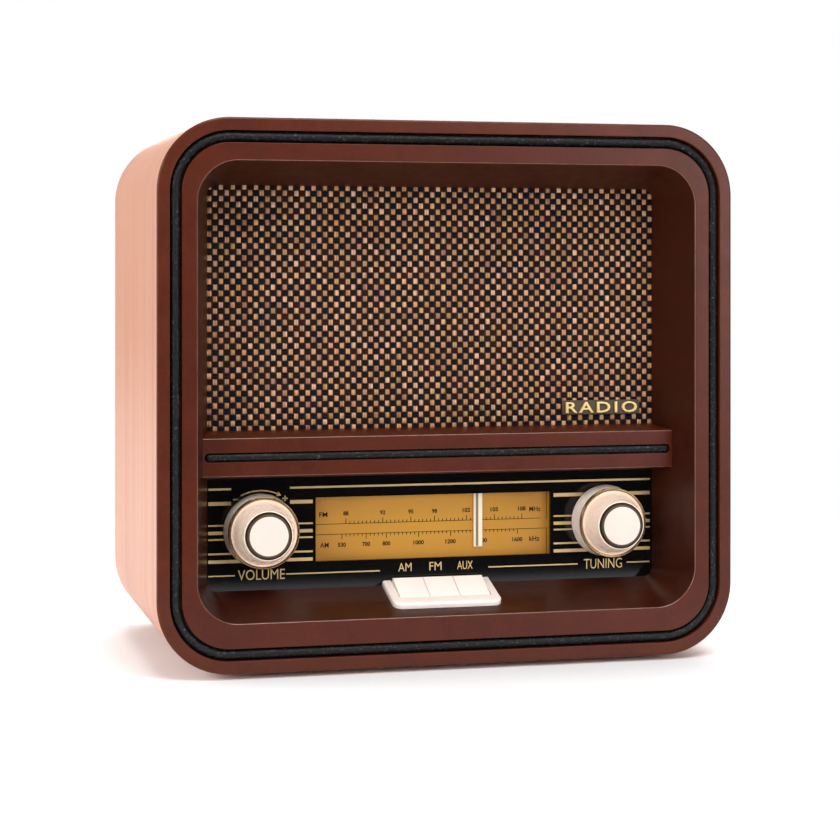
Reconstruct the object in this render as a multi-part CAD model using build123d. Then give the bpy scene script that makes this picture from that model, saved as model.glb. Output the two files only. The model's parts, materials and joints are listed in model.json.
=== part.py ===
"""Retro table radio: veneered wooden cabinet, moulded front recess, cord-driven tuning dial.

Millimetres. +X to the right seen from the front, +Y to the back, +Z up.
The origin is the middle of the cabinet's footprint, on the surface that the feet stand on.
"Depth" below is the distance behind the front face of the rim.
"""
import os
from math import acos, atan2, cos, degrees, pi, radians, sin, tan

from build123d import *

# ---------------------------------------------------------------- overall sizes
WIDTH = 320.0
HEIGHT = 292.0
DEPTH = 190.0
CORNER_RADIUS = 39.0
FOOT_DROP = 3.0

# A "RISE" below is a height over the cabinet's underside, and a "BEHIND" a depth behind the recess's
# deep end, so the dial and its works keep together when the cabinet or the recess changes size.

# ---------------------------------------------------------------- general fits
SEAT_GAP = 0.1
SHAFT_CLEARANCE = 0.05
LOOSE_GAP = 0.3

# ---------------------------------------------------------------- cabinet and rim
WALL = 12.0
RIM_DEPTH = 14.0
RIM_WIDTH = 7.0
RIM_EDGE_ROUND = 1.4
BACK_EDGE_ROUND = 1.5

# ---------------------------------------------------------------- front frame and its piping
GROOVE_WIDTH = 6.4
GROOVE_DEPTH = 5.0
PIPING_WIDTH = 5.4
PIPING_PROUD_GAP = 0.7
STRIP_SIDE = 8.1
STRIP_TOP = 9.2
STRIP_BOTTOM = 13.0
MOULDING = 3.0
RECESS_DEPTH = 37.5
RECESS_INSET_SIDE = 11.0
RECESS_INSET_ENDS = 11.7
MOUTH_RADIUS = 22.0
DEEP_RADIUS = 5.0
BACK_FLANGE = 14.0
SCREW_BOSS_RADIUS = 4.0
SCREW_BOSS_LENGTH = 8.0

# ---------------------------------------------------------------- cross bar between cloth and dial
BAR_RISE = 111.85
BAR_HEIGHT = 20.7
BAR_FRONT_DEPTH = 20.0
BAR_FLARE = 2.6
BAR_GROOVE_HEIGHT = 4.9
BAR_GROOVE_DEPTH = 3.0
BAR_GROOVE_END = 0.9
BAR_PIPING_HEIGHT = 4.5

# ---------------------------------------------------------------- baffle, cloth and loudspeaker
CLOTH_THICKNESS = 0.8
CLOTH_OVERLAP = 4.5
BAFFLE_THICKNESS = 8.0
BOARD_OVERLAP = 12.0
SPEAKER_MARGIN = 0.45
SPEAKER_FLANGE_WIDTH = 12.0
SPEAKER_FLANGE_THICKNESS = 1.5
SPEAKER_DEPTH = 34.0
SURROUND_WIDTH = 9.0
CONE_THICKNESS = 1.0
CONE_DEPTH = 22.0
VOICE_RADIUS = 14.0
MAGNET_INSET = 1.0
MAGNET_LENGTH = 18.0
BADGE_WIDTH = 46.0
BADGE_HEIGHT = 8.0
BADGE_THICKNESS = 2.0
BADGE_RIGHT_INSET = 7.7
BADGE_BOTTOM_INSET = 5.8

# ---------------------------------------------------------------- dial panel, scale and light box
PANEL_THICKNESS = 2.0
PANEL_SPLIT_GAP = 2.0
WINDOW_WIDTH = 134.6
WINDOW_HEIGHT = 34.9
WINDOW_CENTRE_X = -0.4
WINDOW_RISE = 70.1
GLASS_THICKNESS = 1.0
GLASS_OVERLAP = 3.0
POINTER_GAP = 0.8
POINTER_THICKNESS = 0.8
SCALE_THICKNESS = 1.2
LIGHT_BOX_DEPTH = 8.0
LIGHT_BOX_WALL = 1.5
LAMP_COUNT = 4
LAMP_SIZE = 4.0

# ---------------------------------------------------------------- controls
CONTROL_X = 99.0
CONTROL_RISE = 70.7
SHAFT_RADIUS = 3.0
PANEL_SHAFT_GAP = 1.5
KNOB_BACK_GAP = 0.8
SKIRT_BACK_RADIUS = 20.0
SKIRT_RIM_RADIUS = 19.1
SKIRT_LENGTH = 14.0
RING_RADIUS = 19.5
RING_LENGTH = 1.6
CONE_BASE_RADIUS = 16.8
CONE_TOP_RADIUS = 13.4
CONE_LENGTH = 12.5
CAP_RADIUS = 12.0
CAP_LENGTH = 2.2
CAP_SEAT = 1.2
KNOB_BORE_DEPTH = 16.0

# ---------------------------------------------------------------- tuning drive
CORD_BEHIND = 20.0
CORD_RADIUS = 0.5
SPINDLE_PITCH_RADIUS = 3.2
DRUM_PITCH_RADIUS = 32.5
DRUM_X = 25.0
DRUM_RISE = 58.0
DRUM_WIDTH = 4.0
DRUM_WEB = 1.6
DRUM_HUB_RADIUS = 7.0
PULLEY_PITCH_RADIUS = 5.8
PULLEY_X = 86.0
PULLEY_RISE = 101.0
PULLEY_WIDTH = 3.0
PULLEY_PIN_RADIUS = 1.5
FLANGE_HEIGHT = 1.4
POINTER_REST_X = 25.8
POINTER_WIDTH = 5.0
POINTER_BOTTOM_RISE = 57.5
CARRIAGE_WIDTH = 16.0
CARRIAGE_WALL = 1.4
RAIL_RADIUS = 1.5
RAIL_HALF_LENGTH = 102.0
RAIL_RISE = 98.0
RAIL_BEHIND = 13.0

# ---------------------------------------------------------------- chassis and electronics
CHASSIS_BEHIND = 24.5
CHASSIS_SHEET = 1.2
CHASSIS_CORNER_GAP = 3.0
CHASSIS_REAR_GAP = 25.0
CHASSIS_TOP_RISE = 115.0
RUNNER_HEIGHT = 6.0
RUNNER_WIDTH = 14.0
STANDOFF_HEIGHT = 6.0
STANDOFF_RADIUS = 3.0
BOARD_WIDTH = 130.0
BOARD_LENGTH = 84.0
BOARD_THICKNESS = 1.6
BOARD_X = 30.0
BOARD_FRONT_BEHIND = 38.5
CAN_COUNT = 4
CAN_MARGIN = 22.0
CAN_PITCH = 13.0
CAN_ROW = 30.0
CAN_WIDTH = 10.0
CAN_HEIGHT = 12.0
ELECTROLYTIC_RADII = (8.0, 6.5, 5.0)
ELECTROLYTIC_MARGIN = 18.0
ELECTROLYTIC_PITCH = 19.0
ELECTROLYTIC_ROW = 26.0
ELECTROLYTIC_SLENDERNESS = 3.2
CHIP_ROW = 12.0
CHIP_MARGIN = 14.0
CHIP_WIDTH = 20.0
CHIP_SIZE = (7.0, 3.5)
HEATSINK_SIZE = (12.0, 16.0)
CAPACITOR_SIZE = 28.0
CAPACITOR_LENGTH = 18.0
GANG_FLOOR = 3.0
POT_RADIUS = 8.5
POT_LENGTH = 10.0
POT_LUG_HALF_WIDTH = 6.0
POT_LUG_DROP = 5.0
BUSH_RADIUS = 4.5
BUSH_LENGTH = 7.0
NUT_RADIUS = 7.0
NUT_LENGTH = 2.5
ROD_RADIUS = 5.0
ROD_LENGTH = 140.0
ROD_RIGHT_X = 40.0
HOLDER_HALF_WIDTH = 4.0
HOLDER_WALL = 2.0
HOLDER_INSET = 10.0
ROD_BEHIND = 38.5
ROD_RISE = 102.0
COIL_RADIUS = 6.5
COIL_LENGTH = 34.0
CORE_WIDTH = 48.0
CORE_HEIGHT = 40.0
CORE_STACK = 20.0
WINDING_MARGIN = 8.0
WINDING_BULGE = 10.0
TRANSFORMER_X = -78.0
TRANSFORMER_BEHIND = 82.5

# ---------------------------------------------------------------- keys
KEY_COUNT = 3
KEY_PITCH = 17.0
KEY_GAP = 0.4
KEY_RISE = 2.6
KEY_BODY = 3.0
KEY_REAR = 1.2
KEY_CREST = 2.0
KEY_HINGE_AT = 20.0
KEY_HINGE_DROP = 1.7
KEY_HINGE_RADIUS = 1.6
KEY_PIN_RADIUS = 0.75
KEY_TRAVEL_ANGLE = 6.0
TRAY_WIDTH = 61.0
TRAY_LENGTH = 29.4
TRAY_THICKNESS = 3.2
TRAY_CORNER = 5.0
STEM_RADIUS = 1.5
STEM_AT = 6.0
STEM_LENGTH = 6.5
STEM_BITE = 0.5
KEY_SPRING_RADIUS = 2.6
KEY_SPRING_WIRE = 0.3
KEY_SPRING_TURNS = 5
KEY_BOARD_DROP = 13.5
KEY_BOARD_THICKNESS = 1.6
KEY_SWITCH_HEIGHT = 2.6

# ---------------------------------------------------------------- back and base
BATTEN_WIDTH = 10.0
BATTEN_DEPTH = 10.0
REAR_PANEL_THICKNESS = 3.0
REAR_PANEL_RECESS = 6.0
VENT_COUNT = 9
VENT_LENGTH = 120.0
VENT_HEIGHT = 3.6
VENT_PITCH = 9.0
INLET_WIDTH = 27.0
INLET_HEIGHT = 20.0
INLET_X = -104.0
INLET_Z = 50.0
INLET_DEPTH = 22.0
FITTING_LIP = 1.5
FLANGE_REACH = 3.0
WELL_WIDTH = 16.5
WELL_HEIGHT = 8.5
WELL_DEPTH = 16.0
PIN_SPREAD = 8.6
PIN_RADIUS = 1.2
PIN_RECESS = 5.0
ROCKER_WIDTH = 13.0
ROCKER_HEIGHT = 19.0
ROCKER_X = -68.0
ROCKER_TILT = 8.0
ROCKER_END_GAP = 0.9
ROCKER_AXLE_INSET = 4.0
ROCKER_AXLE_RADIUS = 1.0
ROCKER_FRAME = 2.0
ROCKER_POCKET = 10.0
ROCKER_END_RISE = 4.5
ROCKER_MIDDLE_RISE = 2.0
ROCKER_BELLY = 3.0
SOCKET_WIDTH = 14.4
SOCKET_HEIGHT = 7.6
SOCKET_X = 60.0
SOCKET_DEPTH = 16.0
SOCKET_FLOOR = 3.0
SOCKET_LIP = 1.0
SOCKET_WALL = 1.1
TONGUE_GAP = 0.7
TONGUE_RISE = 0.2
TONGUE_THICKNESS = 1.8
TONGUE_RECESS = 2.0
FOOT_RADIUS = 11.0
FOOT_HEIGHT = 3.0
FOOT_INSET_X = 42.0
FOOT_INSET_Y = 34.0

# ---------------------------------------------------------------- screws
SCREW_RADIUS = 1.5
SCREW_HEAD_RADIUS = 3.2
SCREW_HEAD = 1.6
SCREW_CLEARANCE = 0.2

# ---------------------------------------------------------------- worked out from the above
FRONT_Y = -DEPTH / 2
MID_Z = FOOT_DROP + HEIGHT / 2
GROOVE_OUTER_X = WIDTH / 2 - RIM_WIDTH
GROOVE_OUTER_Z = HEIGHT / 2 - RIM_WIDTH
STRIP_OUTER_X = GROOVE_OUTER_X - GROOVE_WIDTH
STRIP_OUTER_Z = GROOVE_OUTER_Z - GROOVE_WIDTH
MOUTH_X = STRIP_OUTER_X - STRIP_SIDE
MOUTH_TOP = MID_Z + STRIP_OUTER_Z - STRIP_TOP
MOUTH_BOTTOM = MID_Z - STRIP_OUTER_Z + STRIP_BOTTOM
DEEP_X = MOUTH_X - RECESS_INSET_SIDE
DEEP_TOP = MOUTH_TOP - RECESS_INSET_ENDS
DEEP_BOTTOM = MOUTH_BOTTOM + RECESS_INSET_ENDS
BAR_Z = FOOT_DROP + BAR_RISE
BAR_BACK_TOP = BAR_Z + BAR_HEIGHT / 2 + BAR_FLARE
BAR_BACK_BOTTOM = BAR_Z - BAR_HEIGHT / 2 - BAR_FLARE
INNER_X = WIDTH / 2 - WALL
INNER_TOP = FOOT_DROP + HEIGHT - WALL
INNER_BOTTOM = FOOT_DROP + WALL
BOARD_EDGE_X = DEEP_X + BOARD_OVERLAP
BOARD_CORNER = CORNER_RADIUS - WALL - BOARD_OVERLAP
CLOTH_BACK = RECESS_DEPTH + CLOTH_THICKNESS
BAFFLE_BACK = CLOTH_BACK + BAFFLE_THICKNESS
SPEAKER_Z = (BAR_BACK_TOP + DEEP_TOP) / 2
SPEAKER_FLANGE_RADIUS = (DEEP_TOP - BAR_BACK_TOP) / 2 - SPEAKER_MARGIN
SPEAKER_HOLE_RADIUS = SPEAKER_FLANGE_RADIUS - SPEAKER_FLANGE_WIDTH
SPEAKER_THROAT_RADIUS = SPEAKER_HOLE_RADIUS * 2 / 3
MAGNET_RADIUS = SPEAKER_THROAT_RADIUS - MAGNET_INSET
PANEL_BACK = RECESS_DEPTH + PANEL_THICKNESS
GLASS_BACK = PANEL_BACK + GLASS_THICKNESS
POINTER_FRONT = GLASS_BACK + POINTER_GAP
POINTER_BACK = POINTER_FRONT + POINTER_THICKNESS
SCALE_FRONT = POINTER_BACK + POINTER_GAP
SCALE_BACK = SCALE_FRONT + SCALE_THICKNESS
LIGHT_BOX_BACK = SCALE_BACK + LIGHT_BOX_DEPTH
WINDOW_Z = FOOT_DROP + WINDOW_RISE
CONTROL_Z = FOOT_DROP + CONTROL_RISE
DRUM_Z = FOOT_DROP + DRUM_RISE
PULLEY_Z = FOOT_DROP + PULLEY_RISE
RAIL_Z = FOOT_DROP + RAIL_RISE
CORD_DEPTH = RECESS_DEPTH + CORD_BEHIND
RAIL_DEPTH = RECESS_DEPTH + RAIL_BEHIND
CHASSIS_DEPTH = RECESS_DEPTH + CHASSIS_BEHIND
BOARD_FRONT_DEPTH = RECESS_DEPTH + BOARD_FRONT_BEHIND
ROD_DEPTH = RECESS_DEPTH + ROD_BEHIND
TRANSFORMER_DEPTH = RECESS_DEPTH + TRANSFORMER_BEHIND
CHASSIS_HALF_WIDTH = WIDTH / 2 - CORNER_RADIUS - CHASSIS_CORNER_GAP
CHASSIS_BACK_DEPTH = DEPTH - CHASSIS_REAR_GAP
CHASSIS_BACK = CHASSIS_DEPTH + CHASSIS_SHEET
CHASSIS_TOP = FOOT_DROP + CHASSIS_TOP_RISE
CHASSIS_FLOOR = INNER_BOTTOM + RUNNER_HEIGHT
BOARD_UNDER = CHASSIS_FLOOR + CHASSIS_SHEET + STANDOFF_HEIGHT
BOARD_TOP = BOARD_UNDER + BOARD_THICKNESS
ROD_Z = FOOT_DROP + ROD_RISE
REAR_PANEL_BACK = DEPTH - REAR_PANEL_RECESS
REAR_PANEL_FRONT = REAR_PANEL_BACK - REAR_PANEL_THICKNESS
FLOOR_SLOPE = degrees(atan2(RECESS_INSET_ENDS, RECESS_DEPTH))


# ================================================================ helpers
def front_plane(depth):
    """A drawing plane facing the front: its x is the radio's X and its y is the radio's Z."""
    return Plane(origin=(0, FRONT_Y + depth, 0), x_dir=(1, 0, 0), z_dir=(0, -1, 0))


def slab(drawing, front, back):
    """A drawing made in X and Z, made solid between two depths."""
    return extrude(front_plane(back) * drawing, amount=back - front)


def rectangle(left, right, bottom, top, radius=0.0):
    """A rectangle between four edges, with round corners if a radius is given."""
    middle = Pos((left + right) / 2, (bottom + top) / 2)
    if radius > 0:
        return middle * RectangleRounded(right - left, top - bottom, radius)
    return middle * Rectangle(right - left, top - bottom)


def face_rectangle(half_width, half_height, radius=0.0):
    """A rectangle centred on the middle of the front face."""
    return rectangle(-half_width, half_width, MID_Z - half_height, MID_Z + half_height, radius)


def rod(x, z, radius, front, back):
    """A cylinder along the radio's depth."""
    return slab(Pos(x, z) * Circle(radius), front, back)


def turned(x, z, outline):
    """A solid of revolution along the depth, from (depth, radius) points."""
    points = [(radius, FRONT_Y + depth) for depth, radius in outline]
    drawing = make_face(Polyline(*points, close=True))
    return Pos(x, 0, z) * revolve(drawing, axis=Axis.Y)


def block(left, right, front, back, bottom, top):
    """A box between its faces, front and back given as depths."""
    return slab(rectangle(left, right, bottom, top), front, back)


def screw(x, z, head_depth, length, forward=True):
    """A pan-head screw along the depth; its head sits behind head_depth when it points forward."""
    way = -1 if forward else 1
    ends = sorted((head_depth, head_depth + way * length))
    shank = rod(x, z, SCREW_RADIUS, ends[0], ends[1])
    head_ends = sorted((head_depth, head_depth - way * SCREW_HEAD))
    return shank + rod(x, z, SCREW_HEAD_RADIUS, head_ends[0], head_ends[1])


def upright_screw(x, depth, head_z, length, downward=True):
    """A pan-head screw along Z; its head sits over head_z when it points down."""
    way = -1 if downward else 1
    shank = Pos(x, FRONT_Y + depth, head_z + way * length / 2) * Cylinder(SCREW_RADIUS, length)
    head = Pos(x, FRONT_Y + depth, head_z - way * SCREW_HEAD / 2) * Cylinder(SCREW_HEAD_RADIUS, SCREW_HEAD)
    return shank + head


def upright_rod(x, depth, radius, bottom, top):
    """A cylinder along Z."""
    return Pos(x, FRONT_Y + depth, (bottom + top) / 2) * Cylinder(radius, top - bottom)


NODES = {}


def keep(name, pieces):
    """Add a finished piece, or a list of like pieces, to the node of this name."""
    if not isinstance(pieces, list):
        pieces = [pieces]
    NODES.setdefault(name, []).extend(solid for piece in pieces for solid in piece.solids())


# ================================================================ cabinet
def cabinet_corner(inset):
    """The corner radius of an outline this far inside the cabinet's."""
    return CORNER_RADIUS - inset


def build_cabinet():
    outer = slab(face_rectangle(WIDTH / 2, HEIGHT / 2, CORNER_RADIUS), RIM_DEPTH, DEPTH)
    outer = fillet(outer.faces().sort_by(Axis.Y)[-1].edges(), BACK_EDGE_ROUND)
    inner = slab(face_rectangle(INNER_X, HEIGHT / 2 - WALL, cabinet_corner(WALL)), RIM_DEPTH, DEPTH)
    shell = outer - inner
    for x, depth in foot_places():
        shell -= upright_rod(x, depth, SCREW_RADIUS + SCREW_CLEARANCE, 0, INNER_BOTTOM)
    for x, depth in chassis_screw_places():
        shell -= upright_rod(x, depth, SCREW_RADIUS + SCREW_CLEARANCE, INNER_BOTTOM - WALL / 2, INNER_BOTTOM)
    keep("cabinet_shell", shell)

    rim = slab(face_rectangle(WIDTH / 2, HEIGHT / 2, CORNER_RADIUS), 0, RIM_DEPTH)
    rim = fillet(rim.faces().sort_by(Axis.Y)[0].edges(), RIM_EDGE_ROUND)
    rim -= slab(face_rectangle(GROOVE_OUTER_X, GROOVE_OUTER_Z, cabinet_corner(RIM_WIDTH)), 0, RIM_DEPTH)
    keep("front_rim", rim)


def foot_places():
    x = WIDTH / 2 - FOOT_INSET_X
    return [(side * x, depth) for side in (-1, 1) for depth in (FOOT_INSET_Y, DEPTH - FOOT_INSET_Y)]


def chassis_screw_places():
    x = CHASSIS_HALF_WIDTH - RUNNER_WIDTH / 2
    depths = (CHASSIS_BACK + RUNNER_WIDTH, CHASSIS_BACK_DEPTH - RUNNER_WIDTH)
    return [(side * x, depth) for side in (-1, 1) for depth in depths]


def build_base():
    feet = []
    screws = []
    for x, depth in foot_places():
        foot = upright_rod(x, depth, FOOT_RADIUS, FOOT_DROP - FOOT_HEIGHT, FOOT_DROP)
        foot -= upright_rod(x, depth, SCREW_RADIUS + SCREW_CLEARANCE, 0, FOOT_DROP)
        pocket_top = SCREW_HEAD + SHAFT_CLEARANCE
        foot -= upright_rod(x, depth, SCREW_HEAD_RADIUS + SCREW_CLEARANCE, 0, pocket_top)
        feet.append(foot)
        screws.append(upright_screw(x, depth, pocket_top, WALL, downward=False))
    keep("feet", feet)
    keep("screws", screws)


# ================================================================ front frame
def mouth_drawing(grow=0.0):
    radius = MOUTH_RADIUS + grow
    return rectangle(-MOUTH_X - grow, MOUTH_X + grow, MOUTH_BOTTOM - grow, MOUTH_TOP + grow, radius)


def deep_drawing(grow=0.0):
    radius = DEEP_RADIUS + grow
    return rectangle(-DEEP_X - grow, DEEP_X + grow, DEEP_BOTTOM - grow, DEEP_TOP + grow, radius)


def recess_body(grow=0.0):
    """The funnel-shaped space between the mouth and the deep opening."""
    return loft([front_plane(0) * mouth_drawing(grow), front_plane(RECESS_DEPTH) * deep_drawing(grow)])


def bar_body(thinner=0.0, front=BAR_FRONT_DEPTH):
    """The cross bar's wedge, made as long as the mouth and trimmed to the recess later."""
    half_front = BAR_HEIGHT / 2 - thinner
    half_back = BAR_HEIGHT / 2 + BAR_FLARE - thinner
    near = front_plane(front) * rectangle(-MOUTH_X, MOUTH_X, BAR_Z - half_front, BAR_Z + half_front)
    far = front_plane(RECESS_DEPTH) * rectangle(-MOUTH_X, MOUTH_X, BAR_Z - half_back, BAR_Z + half_back)
    return loft([near, far])


def bar_groove_half_length():
    share = BAR_FRONT_DEPTH / RECESS_DEPTH
    return MOUTH_X - RECESS_INSET_SIDE * share - BAR_GROOVE_END


def baffle_screw_places():
    x = DEEP_X + BOARD_OVERLAP - SCREW_BOSS_RADIUS
    low = BAR_BACK_TOP
    high = DEEP_TOP - SCREW_BOSS_RADIUS
    return [(side * x, z) for side in (-1, 1) for z in (low, (low + high) / 2, high)]


def panel_screw_places():
    x = DEEP_X + BOARD_OVERLAP - SCREW_BOSS_RADIUS
    low = DEEP_BOTTOM + SCREW_BOSS_RADIUS
    high = BAR_BACK_BOTTOM
    return [(side * x, z) for side in (-1, 1) for z in (low, high)]


def key_frame():
    """A plane on the recess floor where it meets the dial panel: x right, y up the slope, z out of it."""
    slope = radians(FLOOR_SLOPE)
    origin = (0, FRONT_Y + RECESS_DEPTH, DEEP_BOTTOM)
    return Plane(origin=origin, x_dir=(1, 0, 0), z_dir=(0, -sin(slope), cos(slope)))


def on_floor(x, along, above):
    """A point given in X, distance down the slope from the panel, and height over the recess floor."""
    return key_frame().from_local_coords((x, -along, above))


def floor_prism(half_width, outline):
    """A solid across the floor, from (along, above) points, as wide as given each side of X = 0."""
    slope_plane = key_frame()
    forward = -slope_plane.y_dir
    side_plane = Plane(origin=on_floor(-half_width, 0, 0), x_dir=forward, z_dir=(1, 0, 0))
    up_sign = 1 if side_plane.y_dir.dot(slope_plane.z_dir) > 0 else -1
    points = [(along, above * up_sign) for along, above in outline]
    drawing = make_face(Polyline(*points, close=True))
    return extrude(side_plane * drawing, amount=2 * half_width)


def key_opening_half_width():
    return KEY_COUNT * KEY_PITCH / 2 + LOOSE_GAP


def key_opening_end():
    return KEY_HINGE_AT + KEY_HINGE_RADIUS + LOOSE_GAP


def build_front_frame():
    skirt_gap = LOOSE_GAP
    outer_x = GROOVE_OUTER_X - skirt_gap
    outer_z = GROOVE_OUTER_Z - skirt_gap
    outer_radius = cabinet_corner(RIM_WIDTH + skirt_gap)
    strip_radius = cabinet_corner(RIM_WIDTH + GROOVE_WIDTH)

    floor = slab(face_rectangle(outer_x, outer_z, outer_radius), GROOVE_DEPTH, GROOVE_DEPTH + MOULDING)
    skirt = slab(face_rectangle(outer_x, outer_z, outer_radius), GROOVE_DEPTH, RIM_DEPTH)
    skirt -= slab(face_rectangle(outer_x - MOULDING, outer_z - MOULDING, outer_radius - MOULDING),
                  GROOVE_DEPTH, RIM_DEPTH)
    strip = slab(face_rectangle(STRIP_OUTER_X, STRIP_OUTER_Z, strip_radius), 0, GROOVE_DEPTH + MOULDING)
    strip -= slab(face_rectangle(STRIP_OUTER_X - MOULDING, STRIP_OUTER_Z - MOULDING, strip_radius - MOULDING),
                  MOULDING, GROOVE_DEPTH)
    flange = slab(deep_drawing(BACK_FLANGE), RECESS_DEPTH - MOULDING, RECESS_DEPTH)
    frame = floor + skirt + strip + flange + recess_body(MOULDING)
    for x, z in baffle_screw_places() + panel_screw_places():
        frame += rod(x, z, SCREW_BOSS_RADIUS, RECESS_DEPTH - SCREW_BOSS_LENGTH, RECESS_DEPTH)
    frame -= recess_body()

    bar = bar_body() & recess_body(MOULDING / 2)
    hollow = bar_body(MOULDING, BAR_FRONT_DEPTH + BAR_GROOVE_DEPTH + MOULDING) & recess_body(-MOULDING)
    bar -= hollow
    half_length = bar_groove_half_length()
    groove_radius = BAR_GROOVE_HEIGHT / 2 - SHAFT_CLEARANCE
    groove = rectangle(-half_length, half_length, BAR_Z - BAR_GROOVE_HEIGHT / 2,
                       BAR_Z + BAR_GROOVE_HEIGHT / 2, groove_radius)
    bar -= slab(groove, BAR_FRONT_DEPTH, BAR_FRONT_DEPTH + BAR_GROOVE_DEPTH)
    frame += bar

    for x, z in baffle_screw_places() + panel_screw_places():
        frame -= rod(x, z, SCREW_RADIUS + SHAFT_CLEARANCE, RECESS_DEPTH - SCREW_BOSS_LENGTH, RECESS_DEPTH)
    key_slot = [(-MOULDING, -2 * MOULDING), (key_opening_end(), -2 * MOULDING),
                (key_opening_end(), MOULDING), (-MOULDING, MOULDING)]
    frame -= floor_prism(key_opening_half_width(), key_slot)
    keep("front_frame", frame)


def build_piping():
    inset = (GROOVE_WIDTH - PIPING_WIDTH) / 2
    outer_x = GROOVE_OUTER_X - inset
    outer_z = GROOVE_OUTER_Z - inset
    radius = cabinet_corner(RIM_WIDTH + inset)
    ring = slab(face_rectangle(outer_x, outer_z, radius), PIPING_PROUD_GAP, GROOVE_DEPTH)
    ring = chamfer(ring.faces().sort_by(Axis.Y)[0].edges(), PIPING_WIDTH / 4)
    hole_x = outer_x - PIPING_WIDTH
    hole_z = outer_z - PIPING_WIDTH
    ring -= slab(face_rectangle(hole_x, hole_z, radius - PIPING_WIDTH), 0, GROOVE_DEPTH)
    keep("rim_piping", ring)

    half_length = bar_groove_half_length() - LOOSE_GAP
    half_height = BAR_PIPING_HEIGHT / 2
    cord = rectangle(-half_length, half_length, BAR_Z - half_height, BAR_Z + half_height,
                     half_height - SHAFT_CLEARANCE)
    keep("bar_piping", slab(cord, BAR_FRONT_DEPTH + SEAT_GAP, BAR_FRONT_DEPTH + BAR_GROOVE_DEPTH))


# ================================================================ cloth, baffle and loudspeaker
def build_baffle():
    cloth = rectangle(-DEEP_X - CLOTH_OVERLAP, DEEP_X + CLOTH_OVERLAP, BAR_Z + PANEL_SPLIT_GAP,
                      DEEP_TOP + CLOTH_OVERLAP)
    keep("grille_cloth", slab(cloth, RECESS_DEPTH, CLOTH_BACK))

    board = slab(rectangle(-BOARD_EDGE_X, BOARD_EDGE_X, BAR_Z + PANEL_SPLIT_GAP, DEEP_TOP + BOARD_OVERLAP),
                 CLOTH_BACK, BAFFLE_BACK)
    board = fillet(board.edges().filter_by(Axis.Y).group_by(Axis.Z)[-1], BOARD_CORNER)
    board -= rod(0, SPEAKER_Z, SPEAKER_HOLE_RADIUS, CLOTH_BACK, BAFFLE_BACK)
    screws = []
    for x, z in baffle_screw_places():
        board -= rod(x, z, SCREW_RADIUS + SCREW_CLEARANCE, CLOTH_BACK, BAFFLE_BACK)
        screws.append(screw(x, z, BAFFLE_BACK, BAFFLE_THICKNESS + SCREW_BOSS_LENGTH / 2))
    for x, z in speaker_screw_places():
        board -= rod(x, z, SCREW_RADIUS + SHAFT_CLEARANCE, CLOTH_BACK, BAFFLE_BACK)
    keep("baffle_board", board)
    keep("screws", screws)

    right = DEEP_X - BADGE_RIGHT_INSET
    bottom = BAR_BACK_TOP + BADGE_BOTTOM_INSET
    plate = rectangle(right - BADGE_WIDTH, right, bottom, bottom + BADGE_HEIGHT, BADGE_HEIGHT / 4)
    keep("grille_badge", slab(plate, RECESS_DEPTH - BADGE_THICKNESS, RECESS_DEPTH))


def speaker_screw_places():
    pitch = (SPEAKER_HOLE_RADIUS + SPEAKER_FLANGE_RADIUS) / 2
    places = []
    for step in range(4):
        angle = radians(45 + 90 * step)
        places.append((pitch * cos(angle), SPEAKER_Z + pitch * sin(angle)))
    return places


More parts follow.
